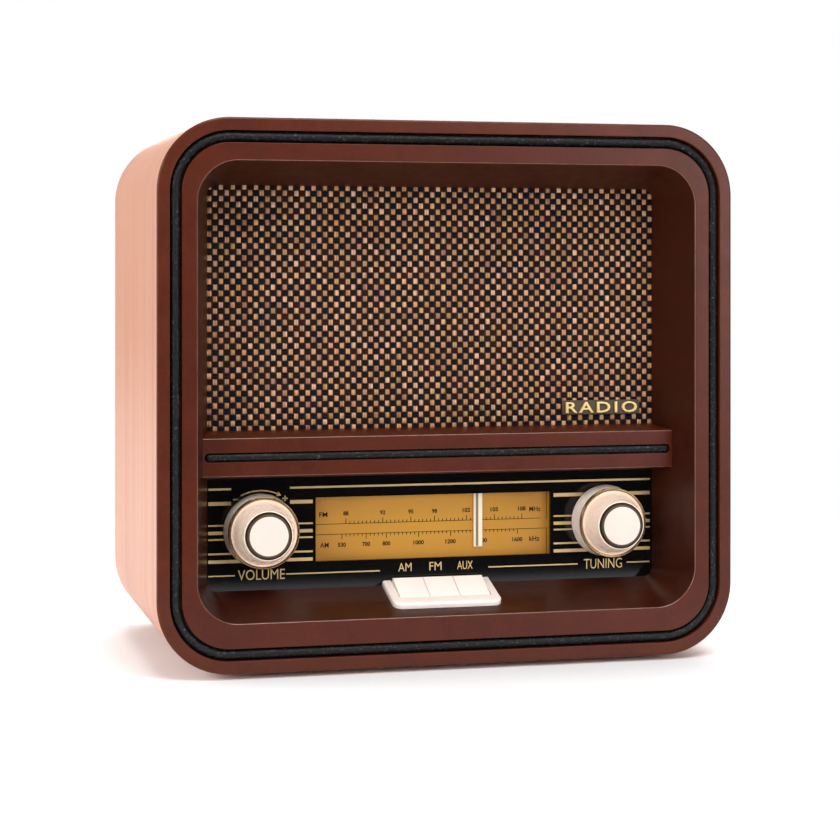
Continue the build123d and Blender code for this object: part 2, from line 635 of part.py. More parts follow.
def build_speaker():
    seat = BAFFLE_BACK
    sheet = SPEAKER_FLANGE_THICKNESS
    basket_inner = SPEAKER_HOLE_RADIUS - 1
    magnet_front = seat + SPEAKER_DEPTH
    outline = [(seat, basket_inner), (seat, SPEAKER_FLANGE_RADIUS), (seat + sheet, SPEAKER_FLANGE_RADIUS),
               (seat + sheet, basket_inner + sheet), (magnet_front, SPEAKER_THROAT_RADIUS),
               (magnet_front, VOICE_RADIUS), (magnet_front - sheet, VOICE_RADIUS),
               (magnet_front - sheet, SPEAKER_THROAT_RADIUS - sheet)]
    basket = turned(0, SPEAKER_Z, outline)
    window_front = seat + SPEAKER_DEPTH / 3
    window_back = magnet_front - SPEAKER_DEPTH / 6
    for turn in range(4):
        wedge = block(-SPEAKER_THROAT_RADIUS / 2, SPEAKER_THROAT_RADIUS / 2, window_front, window_back,
                      SPEAKER_Z, SPEAKER_Z + SPEAKER_FLANGE_RADIUS)
        basket -= Pos(0, 0, SPEAKER_Z) * Rot(0, 90 * turn, 0) * Pos(0, 0, -SPEAKER_Z) * wedge
    screws = []
    for x, z in speaker_screw_places():
        basket -= rod(x, z, SCREW_RADIUS + SCREW_CLEARANCE, seat, seat + sheet)
        screws.append(screw(x, z, seat + sheet, BAFFLE_THICKNESS * 3 / 4))
    keep("speaker_basket", basket)
    keep("screws", screws)

    cone_outer = basket_inner - SURROUND_WIDTH
    cone_front = seat + CONE_THICKNESS
    surround = [(seat - CONE_THICKNESS, basket_inner - SEAT_GAP), (seat, basket_inner - SEAT_GAP),
                (seat, cone_outer), (seat - CONE_THICKNESS, cone_outer)]
    keep("speaker_surround", turned(0, SPEAKER_Z, surround))
    cone_back = cone_front + CONE_DEPTH
    cone = [(seat, cone_outer + SURROUND_WIDTH / 3), (cone_front, cone_outer + SURROUND_WIDTH / 3),
            (cone_back, VOICE_RADIUS), (cone_back - CONE_THICKNESS, VOICE_RADIUS), (seat, cone_outer)]
    keep("speaker_cone", turned(0, SPEAKER_Z, cone))
    coil_back = magnet_front - sheet
    former = [(cone_back - CONE_THICKNESS, VOICE_RADIUS), (coil_back, VOICE_RADIUS),
              (coil_back, VOICE_RADIUS - CONE_THICKNESS), (cone_back, VOICE_RADIUS - CONE_THICKNESS),
              (cone_back - VOICE_RADIUS / 2, 0), (cone_back - VOICE_RADIUS / 2 - CONE_THICKNESS, 0)]
    keep("speaker_dust_cap", turned(0, SPEAKER_Z, former))
    keep("speaker_magnet", rod(0, SPEAKER_Z, MAGNET_RADIUS, magnet_front, magnet_front + MAGNET_LENGTH))


# ================================================================ dial
def window_drawing(grow=0.0):
    half_width = WINDOW_WIDTH / 2 + grow
    half_height = WINDOW_HEIGHT / 2 + grow
    return rectangle(WINDOW_CENTRE_X - half_width, WINDOW_CENTRE_X + half_width,
                     WINDOW_Z - half_height, WINDOW_Z + half_height)


def build_dial():
    panel = block(-BOARD_EDGE_X, BOARD_EDGE_X, RECESS_DEPTH, PANEL_BACK, DEEP_BOTTOM - BOARD_OVERLAP,
                  BAR_Z - PANEL_SPLIT_GAP)
    panel = fillet(panel.edges().filter_by(Axis.Y).group_by(Axis.Z)[0], BOARD_CORNER)
    panel -= slab(window_drawing(), RECESS_DEPTH, PANEL_BACK)
    for side in (-1, 1):
        panel -= rod(side * CONTROL_X, CONTROL_Z, SHAFT_RADIUS + PANEL_SHAFT_GAP, RECESS_DEPTH, PANEL_BACK)
    for x, z in panel_screw_places():
        panel -= rod(x, z, SCREW_RADIUS + SCREW_CLEARANCE, RECESS_DEPTH, PANEL_BACK)
    keep("dial_panel", panel)
    screws = [screw(x, z, PANEL_BACK, PANEL_THICKNESS + SCREW_BOSS_LENGTH * 3 / 4)
              for x, z in panel_screw_places()]
    keep("screws", screws)
    keep("dial_window", slab(window_drawing(GLASS_OVERLAP), PANEL_BACK, GLASS_BACK))
    keep("dial_scale", slab(window_drawing(GLASS_OVERLAP), SCALE_FRONT, SCALE_BACK))

    box = slab(window_drawing(GLASS_OVERLAP), SCALE_BACK, LIGHT_BOX_BACK)
    box -= slab(window_drawing(GLASS_OVERLAP - LIGHT_BOX_WALL), SCALE_BACK, LIGHT_BOX_BACK - LIGHT_BOX_WALL)
    lamp_z = WINDOW_Z
    half_board = WINDOW_WIDTH / 2 - LAMP_SIZE
    board_back = LIGHT_BOX_BACK - LIGHT_BOX_WALL
    board_front = board_back - LIGHT_BOX_WALL
    left = WINDOW_CENTRE_X - half_board
    right = WINDOW_CENTRE_X + half_board
    lamps = block(left, right, board_front, board_back, lamp_z - LAMP_SIZE, lamp_z + LAMP_SIZE)
    for index in range(LAMP_COUNT):
        x = left + (index + 0.5) * (right - left) / LAMP_COUNT
        lamps += block(x - LAMP_SIZE / 2, x + LAMP_SIZE / 2, board_front - LIGHT_BOX_WALL, board_front,
                       lamp_z - LAMP_SIZE / 2, lamp_z + LAMP_SIZE / 2)
    for side in (-1, 1):
        x = WINDOW_CENTRE_X + side * (WINDOW_WIDTH / 2 + GLASS_OVERLAP - LAMP_SIZE)
        spacer = rod(x, WINDOW_Z, STANDOFF_RADIUS, LIGHT_BOX_BACK, CHASSIS_DEPTH)
        box += spacer
    keep("light_box", box)
    keep("dial_lamps", lamps)


def build_pointer():
    x = POINTER_REST_X
    bottom = FOOT_DROP + POINTER_BOTTOM_RISE
    carriage_front = RAIL_DEPTH - RAIL_RADIUS - CARRIAGE_WALL
    carriage_back = CORD_DEPTH + CORD_RADIUS + CARRIAGE_WALL
    carriage_bottom = RAIL_Z - RAIL_RADIUS - CARRIAGE_WALL
    cord_z = PULLEY_Z + PULLEY_PITCH_RADIUS
    carriage_top = cord_z + CORD_RADIUS + CARRIAGE_WALL
    blade = block(x - POINTER_WIDTH / 2, x + POINTER_WIDTH / 2, POINTER_FRONT, POINTER_BACK, bottom, RAIL_Z)
    arm = block(x - POINTER_WIDTH / 2, x + POINTER_WIDTH / 2, POINTER_FRONT, carriage_front,
                RAIL_Z - POINTER_WIDTH / 4, RAIL_Z + POINTER_WIDTH / 4)
    half = CARRIAGE_WIDTH / 2
    body = block(x - half, x + half, carriage_front, carriage_back, carriage_bottom, carriage_top)
    run = Rot(0, 90, 0)
    rail_bore = Cylinder(RAIL_RADIUS + SHAFT_CLEARANCE, CARRIAGE_WIDTH)
    bore = Pos(x, FRONT_Y + RAIL_DEPTH, RAIL_Z) * run * rail_bore
    cord_hole = Pos(x, FRONT_Y + CORD_DEPTH, cord_z) * run * Cylinder(CORD_RADIUS + LOOSE_GAP, CARRIAGE_WIDTH)
    keep("dial_pointer", blade + arm + body - bore - cord_hole)

    rail = Pos(0, FRONT_Y + RAIL_DEPTH, RAIL_Z) * run * Cylinder(RAIL_RADIUS, 2 * RAIL_HALF_LENGTH)
    for side in (-1, 1):
        x_end = side * (RAIL_HALF_LENGTH - RAIL_RADIUS)
        rail += rod(x_end, RAIL_Z, RAIL_RADIUS, RAIL_DEPTH, CHASSIS_DEPTH)
    keep("pointer_rail", rail)


# ================================================================ knobs and controls
def build_knob(side, name, turns_spindle):
    x = side * CONTROL_X
    back = RECESS_DEPTH - KNOB_BACK_GAP
    rim = back - SKIRT_LENGTH
    top = rim - CONE_LENGTH
    ring_back = rim + RING_LENGTH
    ring_seat = RING_RADIUS - 1.5
    skirt = [(back, 0), (back, SKIRT_BACK_RADIUS - 0.6), (back - 0.6, SKIRT_BACK_RADIUS),
             (ring_back, SKIRT_RIM_RADIUS), (ring_back, ring_seat), (rim, ring_seat),
             (rim + 1.0, CONE_BASE_RADIUS), (top, CONE_TOP_RADIUS), (top, 0)]
    body = turned(x, CONTROL_Z, skirt)
    bore_radius = SHAFT_RADIUS + SHAFT_CLEARANCE
    body -= rod(x, CONTROL_Z, bore_radius, back - KNOB_BORE_DEPTH, back)
    cap_floor = top + CAP_SEAT
    body -= rod(x, CONTROL_Z, CAP_RADIUS + SHAFT_CLEARANCE, top, cap_floor)
    keep(name + "_knob_body", body)
    ring = [(rim, ring_seat + SHAFT_CLEARANCE), (rim, RING_RADIUS - 0.5), (rim + 0.5, RING_RADIUS),
            (ring_back, RING_RADIUS), (ring_back, ring_seat + SHAFT_CLEARANCE)]
    keep(name + "_knob_ring", turned(x, CONTROL_Z, ring))
    cap = [(cap_floor, 0), (cap_floor, CAP_RADIUS), (cap_floor - CAP_LENGTH, CAP_RADIUS - 0.6),
           (cap_floor - CAP_LENGTH - 0.5, CAP_RADIUS - 1.8), (cap_floor - CAP_LENGTH - 0.9, 0)]
    keep(name + "_knob_cap", turned(x, CONTROL_Z, cap))
    shaft_tip = back - KNOB_BORE_DEPTH + 1.0
    if turns_spindle:
        pitch_floor = SPINDLE_PITCH_RADIUS - CORD_RADIUS - LOOSE_GAP
        half = DRUM_WIDTH / 2 - 0.5
        waist_front = CORD_DEPTH - half
        waist_back = CORD_DEPTH + half
        end = CHASSIS_BACK + BUSH_LENGTH
        spindle = [(shaft_tip, 0), (shaft_tip, SHAFT_RADIUS), (waist_front, SHAFT_RADIUS),
                   (waist_front, pitch_floor), (waist_back, pitch_floor), (waist_back, SHAFT_RADIUS),
                   (end, SHAFT_RADIUS), (end, 0)]
        keep("tuning_spindle", turned(x, CONTROL_Z, spindle))
    else:
        keep("volume_shaft", rod(x, CONTROL_Z, SHAFT_RADIUS, shaft_tip, CHASSIS_BACK + POT_LENGTH / 2))


def build_control_mounts():
    nut_front = CHASSIS_DEPTH - NUT_LENGTH
    bush_front = nut_front - SEAT_GAP
    bore = SHAFT_RADIUS + SHAFT_CLEARANCE
    thread = BUSH_RADIUS
    x = CONTROL_X
    bush = rod(x, CONTROL_Z, thread, bush_front, CHASSIS_BACK + BUSH_LENGTH - 1)
    bush += rod(x, CONTROL_Z, NUT_RADIUS, CHASSIS_BACK, CHASSIS_BACK + NUT_LENGTH)
    bush -= rod(x, CONTROL_Z, bore, bush_front, CHASSIS_BACK + BUSH_LENGTH)
    keep("spindle_bush", bush)

    pot = rod(-x, CONTROL_Z, thread, bush_front, CHASSIS_BACK)
    pot += rod(-x, CONTROL_Z, POT_RADIUS, CHASSIS_BACK, CHASSIS_BACK + POT_LENGTH)
    lug_front = CHASSIS_BACK + POT_LENGTH / 5
    pot += block(-x - POT_LUG_HALF_WIDTH, -x + POT_LUG_HALF_WIDTH, lug_front, lug_front + BOARD_THICKNESS,
                 CONTROL_Z - POT_RADIUS - POT_LUG_DROP, CONTROL_Z)
    pot -= rod(-x, CONTROL_Z, bore, bush_front, CHASSIS_BACK + POT_LENGTH / 2 + SEAT_GAP)
    keep("volume_pot", pot)

    nuts = []
    for side in (-1, 1):
        hexagon = Pos(side * x, CONTROL_Z) * RegularPolygon(NUT_RADIUS, 6)
        hole = Pos(side * x, CONTROL_Z) * Circle(thread + SHAFT_CLEARANCE)
        nuts.append(slab(hexagon - hole, nut_front, CHASSIS_DEPTH))
    keep("control_nuts", nuts)


# ================================================================ cord drive
def drive_circles():
    """Centre X, centre Z and pitch radius of what the cord goes round, in the order it meets them."""
    return [(-PULLEY_X, PULLEY_Z, PULLEY_PITCH_RADIUS), (PULLEY_X, PULLEY_Z, PULLEY_PITCH_RADIUS),
            (CONTROL_X, CONTROL_Z, SPINDLE_PITCH_RADIUS), (DRUM_X, DRUM_Z, DRUM_PITCH_RADIUS)]


def cord_path():
    """The closed belt round the four circles, clockwise seen from the front: outer tangents and arcs."""
    circles = drive_circles()
    normals = []
    for here, after in zip(circles, circles[1:] + circles[:1]):
        along = atan2(after[1] - here[1], after[0] - here[0])
        span = ((after[0] - here[0]) ** 2 + (after[1] - here[1]) ** 2) ** 0.5
        normals.append(along + acos((here[2] - after[2]) / span))
    edges = []
    plane = front_plane(CORD_DEPTH)
    for index, here in enumerate(circles):
        after = circles[(index + 1) % len(circles)]
        leave = normals[index]
        arrive = normals[index - 1]
        turn = (arrive - leave) % (2 * pi)
        middle = arrive - turn / 2
        rim = [(here[0] + here[2] * cos(a), here[1] + here[2] * sin(a)) for a in (arrive, middle, leave)]
        landing = (after[0] + after[2] * cos(leave), after[1] + after[2] * sin(leave))
        edges.append(plane * ThreePointArc(*rim))
        edges.append(plane * Line(rim[2], landing))
    return edges


def grooved_wheel(x, z, pitch_radius, width, hub_radius, bore, flange=FLANGE_HEIGHT):
    """A wheel with a cord groove in its rim and a clear bore."""
    half = width / 2
    floor = pitch_radius - CORD_RADIUS - LOOSE_GAP
    rim = floor + flange
    outline = [(CORD_DEPTH - half, bore), (CORD_DEPTH - half, rim), (CORD_DEPTH - half + 0.4, rim),
               (CORD_DEPTH - CORD_RADIUS - LOOSE_GAP, floor), (CORD_DEPTH + CORD_RADIUS + LOOSE_GAP, floor),
               (CORD_DEPTH + half - 0.4, rim), (CORD_DEPTH + half, rim), (CORD_DEPTH + half, bore)]
    wheel = turned(x, z, outline)
    if hub_radius > bore and pitch_radius > 2 * hub_radius:
        ring = rod(x, z, floor - 3, CORD_DEPTH - half, CORD_DEPTH + half)
        ring -= rod(x, z, hub_radius, CORD_DEPTH - half, CORD_DEPTH + half)
        web = rod(x, z, floor, CORD_DEPTH - DRUM_WEB / 2, CORD_DEPTH + DRUM_WEB / 2)
        wheel -= ring - web
    return wheel


def build_drive():
    path = Wire(cord_path())
    start = cord_path()[0] @ 0
    section = Plane(origin=start, z_dir=path % 0) * Circle(CORD_RADIUS)
    keep("dial_cord", sweep(section, path=path))

    pin_bore = PULLEY_PIN_RADIUS + SHAFT_CLEARANCE
    pins = []
    for side, name in ((-1, "left_pulley"), (1, "right_pulley")):
        x = side * PULLEY_X
        keep(name, grooved_wheel(x, PULLEY_Z, PULLEY_PITCH_RADIUS, PULLEY_WIDTH, 0, pin_bore))
        pin = rod(x, PULLEY_Z, PULLEY_PIN_RADIUS, CORD_DEPTH - PULLEY_WIDTH / 2 - LOOSE_GAP, CHASSIS_DEPTH)
        head_back = CORD_DEPTH - PULLEY_WIDTH / 2 - LOOSE_GAP
        pin += rod(x, PULLEY_Z, 2 * PULLEY_PIN_RADIUS, head_back - 1, head_back)
        collar_front = CORD_DEPTH + PULLEY_WIDTH / 2 + LOOSE_GAP
        pin += rod(x, PULLEY_Z, 2 * PULLEY_PIN_RADIUS, collar_front, CHASSIS_DEPTH)
        pins.append(pin)
    keep("pointer_rail", pins)

    drum = grooved_wheel(DRUM_X, DRUM_Z, DRUM_PITCH_RADIUS, DRUM_WIDTH, DRUM_HUB_RADIUS, SHAFT_RADIUS)
    shaft_front = CORD_DEPTH - DRUM_WIDTH / 2
    gang_depth = CHASSIS_BACK + CAPACITOR_LENGTH
    keep("tuning_drum", drum + rod(DRUM_X, DRUM_Z, SHAFT_RADIUS, shaft_front, gang_depth - GANG_FLOOR))
    half = CAPACITOR_SIZE / 2
    gang = block(DRUM_X - half, DRUM_X + half, CHASSIS_BACK, gang_depth, DRUM_Z - half, DRUM_Z + half)
    gang -= rod(DRUM_X, DRUM_Z, SHAFT_RADIUS + SHAFT_CLEARANCE, CHASSIS_BACK, gang_depth - GANG_FLOOR + 1)
    keep("tuning_capacitor", gang)


# ================================================================ keys
def key_places():
    first = -(KEY_COUNT - 1) / 2 * KEY_PITCH
    return [first + index * KEY_PITCH for index in range(KEY_COUNT)]


def across(x, along, above, radius, length):
    """A cylinder along X, placed over the recess floor."""
    return Pos(*on_floor(x, along, above)) * Rot(0, 90, 0) * Cylinder(radius, length)


def build_keys():
    hinge_above = TRAY_THICKNESS - KEY_HINGE_DROP
    half_width = TRAY_WIDTH / 2
    panel_gap = LOOSE_GAP
    plate = Pos(0, -(panel_gap + TRAY_LENGTH) / 2) * Rectangle(TRAY_WIDTH, TRAY_LENGTH - panel_gap)
    tray = extrude(key_frame() * plate, amount=TRAY_THICKNESS)
    front_edges = tray.edges().filter_by(lambda edge: abs((edge % 0.5).X) < 0.01).sort_by(Axis.Y)
    upright = [edge for edge in front_edges if abs((edge % 0.5).dot(key_frame().z_dir)) > 0.99]
    tray = fillet(upright[:2], TRAY_CORNER)
    top_face = max(tray.faces(), key=lambda face: face.center().dot(key_frame().z_dir))
    front_top = [edge for edge in top_face.edges() if edge.center().Y < top_face.center().Y + TRAY_LENGTH / 4]
    tray = fillet(front_top, TRAY_THICKNESS * 0.4)
    opening = [(-1, -1), (key_opening_end(), -1), (key_opening_end(), 2 * TRAY_THICKNESS),
               (-1, 2 * TRAY_THICKNESS)]
    tray -= floor_prism(key_opening_half_width(), opening)
    pin_length = 2 * key_opening_half_width() + (half_width - key_opening_half_width())
    tray -= across(0, KEY_HINGE_AT, hinge_above, KEY_PIN_RADIUS + SHAFT_CLEARANCE, pin_length)
    keep("key_tray", tray)
    keep("key_pin", across(0, KEY_HINGE_AT, hinge_above, KEY_PIN_RADIUS, pin_length - LOOSE_GAP))

    top = TRAY_THICKNESS
    rear_top = top + KEY_RISE
    rear_under = rear_top - KEY_BODY - KEY_RISE
    side = [(KEY_REAR, rear_under), (KEY_HINGE_AT, hinge_above - KEY_HINGE_RADIUS), (KEY_HINGE_AT, top),
            (KEY_REAR + KEY_CREST, rear_top), (KEY_REAR, rear_top - KEY_CREST * 0.4)]
    springs = []
    switches = []
    board_top = key_board_top()
    stem_y = on_floor(0, STEM_AT, rear_under + STEM_BITE).Y
    names = ("left_key", "middle_key", "right_key")
    for x, name in zip(key_places(), names):
        half_key = (KEY_PITCH - KEY_GAP) / 2
        key = Pos(x, 0, 0) * floor_prism(half_key, side)
        key += across(x, KEY_HINGE_AT, hinge_above, KEY_HINGE_RADIUS, 2 * half_key)
        stem_top_z = on_floor(x, STEM_AT, rear_under + STEM_BITE).Z
        key += Pos(x, stem_y, stem_top_z - STEM_LENGTH / 2) * Cylinder(STEM_RADIUS, STEM_LENGTH)
        key -= across(x, KEY_HINGE_AT, hinge_above, KEY_PIN_RADIUS + SHAFT_CLEARANCE, KEY_PITCH)
        keep(name, key)
        slope_loss = KEY_SPRING_RADIUS * tan(radians(FLOOR_SLOPE))
        spring_top = on_floor(x, STEM_AT, rear_under).Z - slope_loss - LOOSE_GAP
        coil_height = spring_top - board_top - SEAT_GAP - 2 * KEY_SPRING_WIRE
        coil = Helix(pitch=coil_height / KEY_SPRING_TURNS, height=coil_height, radius=KEY_SPRING_RADIUS)
        wire_section = Plane(origin=coil @ 0, z_dir=coil % 0) * Circle(KEY_SPRING_WIRE)
        spring = sweep(wire_section, path=coil)
        spring_z = board_top + SEAT_GAP + KEY_SPRING_WIRE
        springs.append(Pos(x, stem_y, spring_z) * spring)
        switch = Cylinder(STEM_RADIUS, KEY_SWITCH_HEIGHT)
        switches.append(Pos(x, stem_y, board_top + KEY_SWITCH_HEIGHT / 2) * switch)
    keep("key_springs", springs)
    board_width = KEY_COUNT * KEY_PITCH + 2 * STANDOFF_RADIUS
    board = Box(board_width, 4 * STANDOFF_RADIUS, KEY_BOARD_THICKNESS)
    keep("key_board", [Pos(0, stem_y, board_top - KEY_BOARD_THICKNESS / 2) * board] + switches)


def key_board_top():
    return on_floor(0, STEM_AT, 0).Z - KEY_BOARD_DROP


# ================================================================ chassis and electronics
def build_chassis():
    x = CHASSIS_HALF_WIDTH
    wall = block(-x, x, CHASSIS_DEPTH, CHASSIS_BACK, CHASSIS_FLOOR, CHASSIS_TOP)
    floor = block(-x, x, CHASSIS_DEPTH, CHASSIS_BACK_DEPTH, CHASSIS_FLOOR, CHASSIS_FLOOR + CHASSIS_SHEET)
    chassis = wall + floor
    gusset = CHASSIS_BACK_DEPTH / 8
    for side in (-1, 1):
        inner = side * (x - CHASSIS_SHEET)
        low = CHASSIS_FLOOR + CHASSIS_SHEET
        corner = (min(side * x, inner), FRONT_Y + CHASSIS_BACK, low)
        plate = Plane(origin=corner, x_dir=(0, 1, 0), z_dir=(1, 0, 0))
        rib = make_face(Polyline((0, 0), (gusset, 0), (0, gusset), close=True))
        chassis += extrude(plate * rib, amount=CHASSIS_SHEET)
        bush_hole = BUSH_RADIUS + SHAFT_CLEARANCE
        chassis -= rod(side * CONTROL_X, CONTROL_Z, bush_hole, CHASSIS_DEPTH, CHASSIS_BACK)
    chassis -= rod(DRUM_X, DRUM_Z, SHAFT_RADIUS + PANEL_SHAFT_GAP, CHASSIS_DEPTH, CHASSIS_BACK)
    runners = []
    screws = []
    for side in (-1, 1):
        inner = side * (x - RUNNER_WIDTH)
        left, right = sorted((side * x, inner))
        runner = block(left, right, CHASSIS_BACK, CHASSIS_BACK_DEPTH, INNER_BOTTOM, CHASSIS_FLOOR)
        for screw_x, depth in chassis_screw_places():
            runner -= upright_rod(screw_x, depth, SCREW_RADIUS + SCREW_CLEARANCE, INNER_BOTTOM, CHASSIS_FLOOR)
        runners.append(runner)
    for screw_x, depth in chassis_screw_places():
        head_z = CHASSIS_FLOOR + CHASSIS_SHEET
        chassis -= upright_rod(screw_x, depth, SCREW_RADIUS + SCREW_CLEARANCE, CHASSIS_FLOOR, head_z)
        screws.append(upright_screw(screw_x, depth, head_z, RUNNER_HEIGHT + CHASSIS_SHEET + WALL / 3))
    keep("chassis", chassis)
    keep("chassis_runners", runners)
    keep("screws", screws)


def build_electronics():
    left = BOARD_X - BOARD_WIDTH / 2
    right = BOARD_X + BOARD_WIDTH / 2
    back = BOARD_FRONT_DEPTH + BOARD_LENGTH
    board = block(left, right, BOARD_FRONT_DEPTH, back, BOARD_UNDER, BOARD_TOP)
    standoffs = []
    for x in (left + 2 * STANDOFF_RADIUS, right - 2 * STANDOFF_RADIUS):
        for depth in (BOARD_FRONT_DEPTH + 2 * STANDOFF_RADIUS, back - 2 * STANDOFF_RADIUS):
            foot = CHASSIS_FLOOR + CHASSIS_SHEET
            standoffs.append(upright_rod(x, depth, STANDOFF_RADIUS, foot, BOARD_UNDER))
    keep("main_board", board)
    keep("chassis_mounts", standoffs)

    cans = []
    for index in range(CAN_COUNT):
        x = left + CAN_MARGIN + CAN_PITCH * index
        can_front = BOARD_FRONT_DEPTH + CAN_ROW
        cans.append(block(x - CAN_WIDTH / 2, x + CAN_WIDTH / 2, can_front, can_front + CAN_WIDTH, BOARD_TOP,
                          BOARD_TOP + CAN_HEIGHT))
    keep("board_components", cans)
    capacitors = []
    for index, radius in enumerate(ELECTROLYTIC_RADII):
        x = right - ELECTROLYTIC_MARGIN - ELECTROLYTIC_PITCH * index
        height = ELECTROLYTIC_SLENDERNESS * radius
        capacitors.append(upright_rod(x, back - ELECTROLYTIC_ROW, radius, BOARD_TOP, BOARD_TOP + height))
    keep("board_components", capacitors)
    chips = []
    chip_front = BOARD_FRONT_DEPTH + CHIP_ROW
    chip_places = ((left + CHIP_MARGIN, *CHIP_SIZE), (right - 2 * CHIP_WIDTH, *HEATSINK_SIZE))
    for chip_left, depth, height in chip_places:
        chips.append(block(chip_left, chip_left + CHIP_WIDTH, chip_front, chip_front + depth, BOARD_TOP,
                           BOARD_TOP + height))
    keep("board_components", chips)

    rod_left = ROD_RIGHT_X - ROD_LENGTH
    turn = Rot(0, 90, 0)
    middle = rod_left + ROD_LENGTH / 2
    ferrite = Pos(middle, FRONT_Y + ROD_DEPTH, ROD_Z) * turn * Cylinder(ROD_RADIUS, ROD_LENGTH)
    keep("ferrite_rod", ferrite)
    coil = Cylinder(COIL_RADIUS, COIL_LENGTH) - Cylinder(ROD_RADIUS + SHAFT_CLEARANCE, COIL_LENGTH)
    keep("aerial_coil", Pos(rod_left + COIL_LENGTH, FRONT_Y + ROD_DEPTH, ROD_Z) * turn * coil)
    holders = []
    reach = ROD_RADIUS + HOLDER_WALL
    for x in (rod_left + HOLDER_INSET, ROD_RIGHT_X - HOLDER_INSET):
        arm = block(x - HOLDER_HALF_WIDTH, x + HOLDER_HALF_WIDTH, CHASSIS_BACK, ROD_DEPTH + reach,
                    ROD_Z - reach, ROD_Z + reach)
        bore = Cylinder(ROD_RADIUS + SHAFT_CLEARANCE, 3 * HOLDER_HALF_WIDTH)
        arm -= Pos(x, FRONT_Y + ROD_DEPTH, ROD_Z) * turn * bore
        holders.append(arm)
    keep("chassis_mounts", holders)

    base = CHASSIS_FLOOR + CHASSIS_SHEET
    half = CORE_WIDTH / 2
    core_front = TRANSFORMER_DEPTH - CORE_STACK / 2
    core_back = TRANSFORMER_DEPTH + CORE_STACK / 2
    core = block(TRANSFORMER_X - half, TRANSFORMER_X + half, core_front, core_back, base, base + CORE_HEIGHT)
    margin = WINDING_MARGIN
    leg = CORE_WIDTH / 6
    for side in (-1, 1):
        left_edge, right_edge = sorted((TRANSFORMER_X + side * leg, TRANSFORMER_X + side * (half - margin)))
        core -= block(left_edge, right_edge, core_front, core_back, base + margin,
                      base + CORE_HEIGHT - margin)
    keep("transformer_core", core)
    wind = block(TRANSFORMER_X - half + margin + SEAT_GAP, TRANSFORMER_X + half - margin - SEAT_GAP,
                 core_front - WINDING_BULGE, core_back + WINDING_BULGE, base + margin + SEAT_GAP,
                 base + CORE_HEIGHT - margin - SEAT_GAP)
    wind -= block(TRANSFORMER_X - leg - SEAT_GAP, TRANSFORMER_X + leg + SEAT_GAP, core_front - SEAT_GAP,
                  core_back + SEAT_GAP, base, base + CORE_HEIGHT)
    keep("transformer_winding", wind)


# ================================================================ back
def rear_screw_places():
    x = INNER_X - BATTEN_WIDTH / 2
    z = HEIGHT / 2 - WALL - BATTEN_WIDTH / 2
    straight_x = INNER_X - cabinet_corner(WALL)
    places = [(side * x, MID_Z + up * z / 2) for side in (-1, 1) for up in (-1, 1)]
    places += [(side * straight_x * 0.7, MID_Z + up * z) for side in (-1, 1) for up in (-1, 1)]
    return places


def build_back():
    outer_z = HEIGHT / 2 - WALL
    batten_front = REAR_PANEL_FRONT - BATTEN_DEPTH
    ring = slab(face_rectangle(INNER_X, outer_z, cabinet_corner(WALL)), batten_front, REAR_PANEL_FRONT)
    ring -= slab(face_rectangle(INNER_X - BATTEN_WIDTH, outer_z - BATTEN_WIDTH,
                                cabinet_corner(WALL + BATTEN_WIDTH)), batten_front, REAR_PANEL_FRONT)
    gap = LOOSE_GAP
    panel = slab(face_rectangle(INNER_X - gap, outer_z - gap, cabinet_corner(WALL + gap)),
                 REAR_PANEL_FRONT, REAR_PANEL_BACK)
    first_vent = MID_Z + outer_z / 2 - (VENT_COUNT - 1) / 2 * VENT_PITCH
    for index in range(VENT_COUNT):
        z = first_vent + index * VENT_PITCH
        for side in (-1, 1):
            middle = side * (VENT_LENGTH / 2 + VENT_PITCH / 2)
            slot = Pos(middle, z) * SlotOverall(VENT_LENGTH, VENT_HEIGHT)
            panel -= slab(slot, REAR_PANEL_FRONT, REAR_PANEL_BACK)
    screws = []
    for x, z in rear_screw_places():
        ring -= rod(x, z, SCREW_RADIUS + SHAFT_CLEARANCE, batten_front, REAR_PANEL_FRONT)
        panel -= rod(x, z, SCREW_RADIUS + SCREW_CLEARANCE, REAR_PANEL_FRONT, REAR_PANEL_BACK)
        screws.append(screw(x, z, REAR_PANEL_BACK, REAR_PANEL_THICKNESS + BATTEN_DEPTH * 3 / 4))
    cut = SEAT_GAP
    frame_width = ROCKER_WIDTH + 2 * ROCKER_FRAME
    frame_height = ROCKER_HEIGHT + 2 * ROCKER_FRAME
    for x, width, height in ((INLET_X, INLET_WIDTH, INLET_HEIGHT), (ROCKER_X, frame_width, frame_height),
                             (SOCKET_X, SOCKET_WIDTH, SOCKET_HEIGHT)):
        panel -= slab(fitting(x, width + cut, height + cut), REAR_PANEL_FRONT, REAR_PANEL_BACK)
    keep("rear_batten", ring)
    keep("rear_panel", panel)
    keep("screws", screws)


def fitting(x, width, height):
    return Pos(x, INLET_Z) * RectangleRounded(width, height, 1.0)


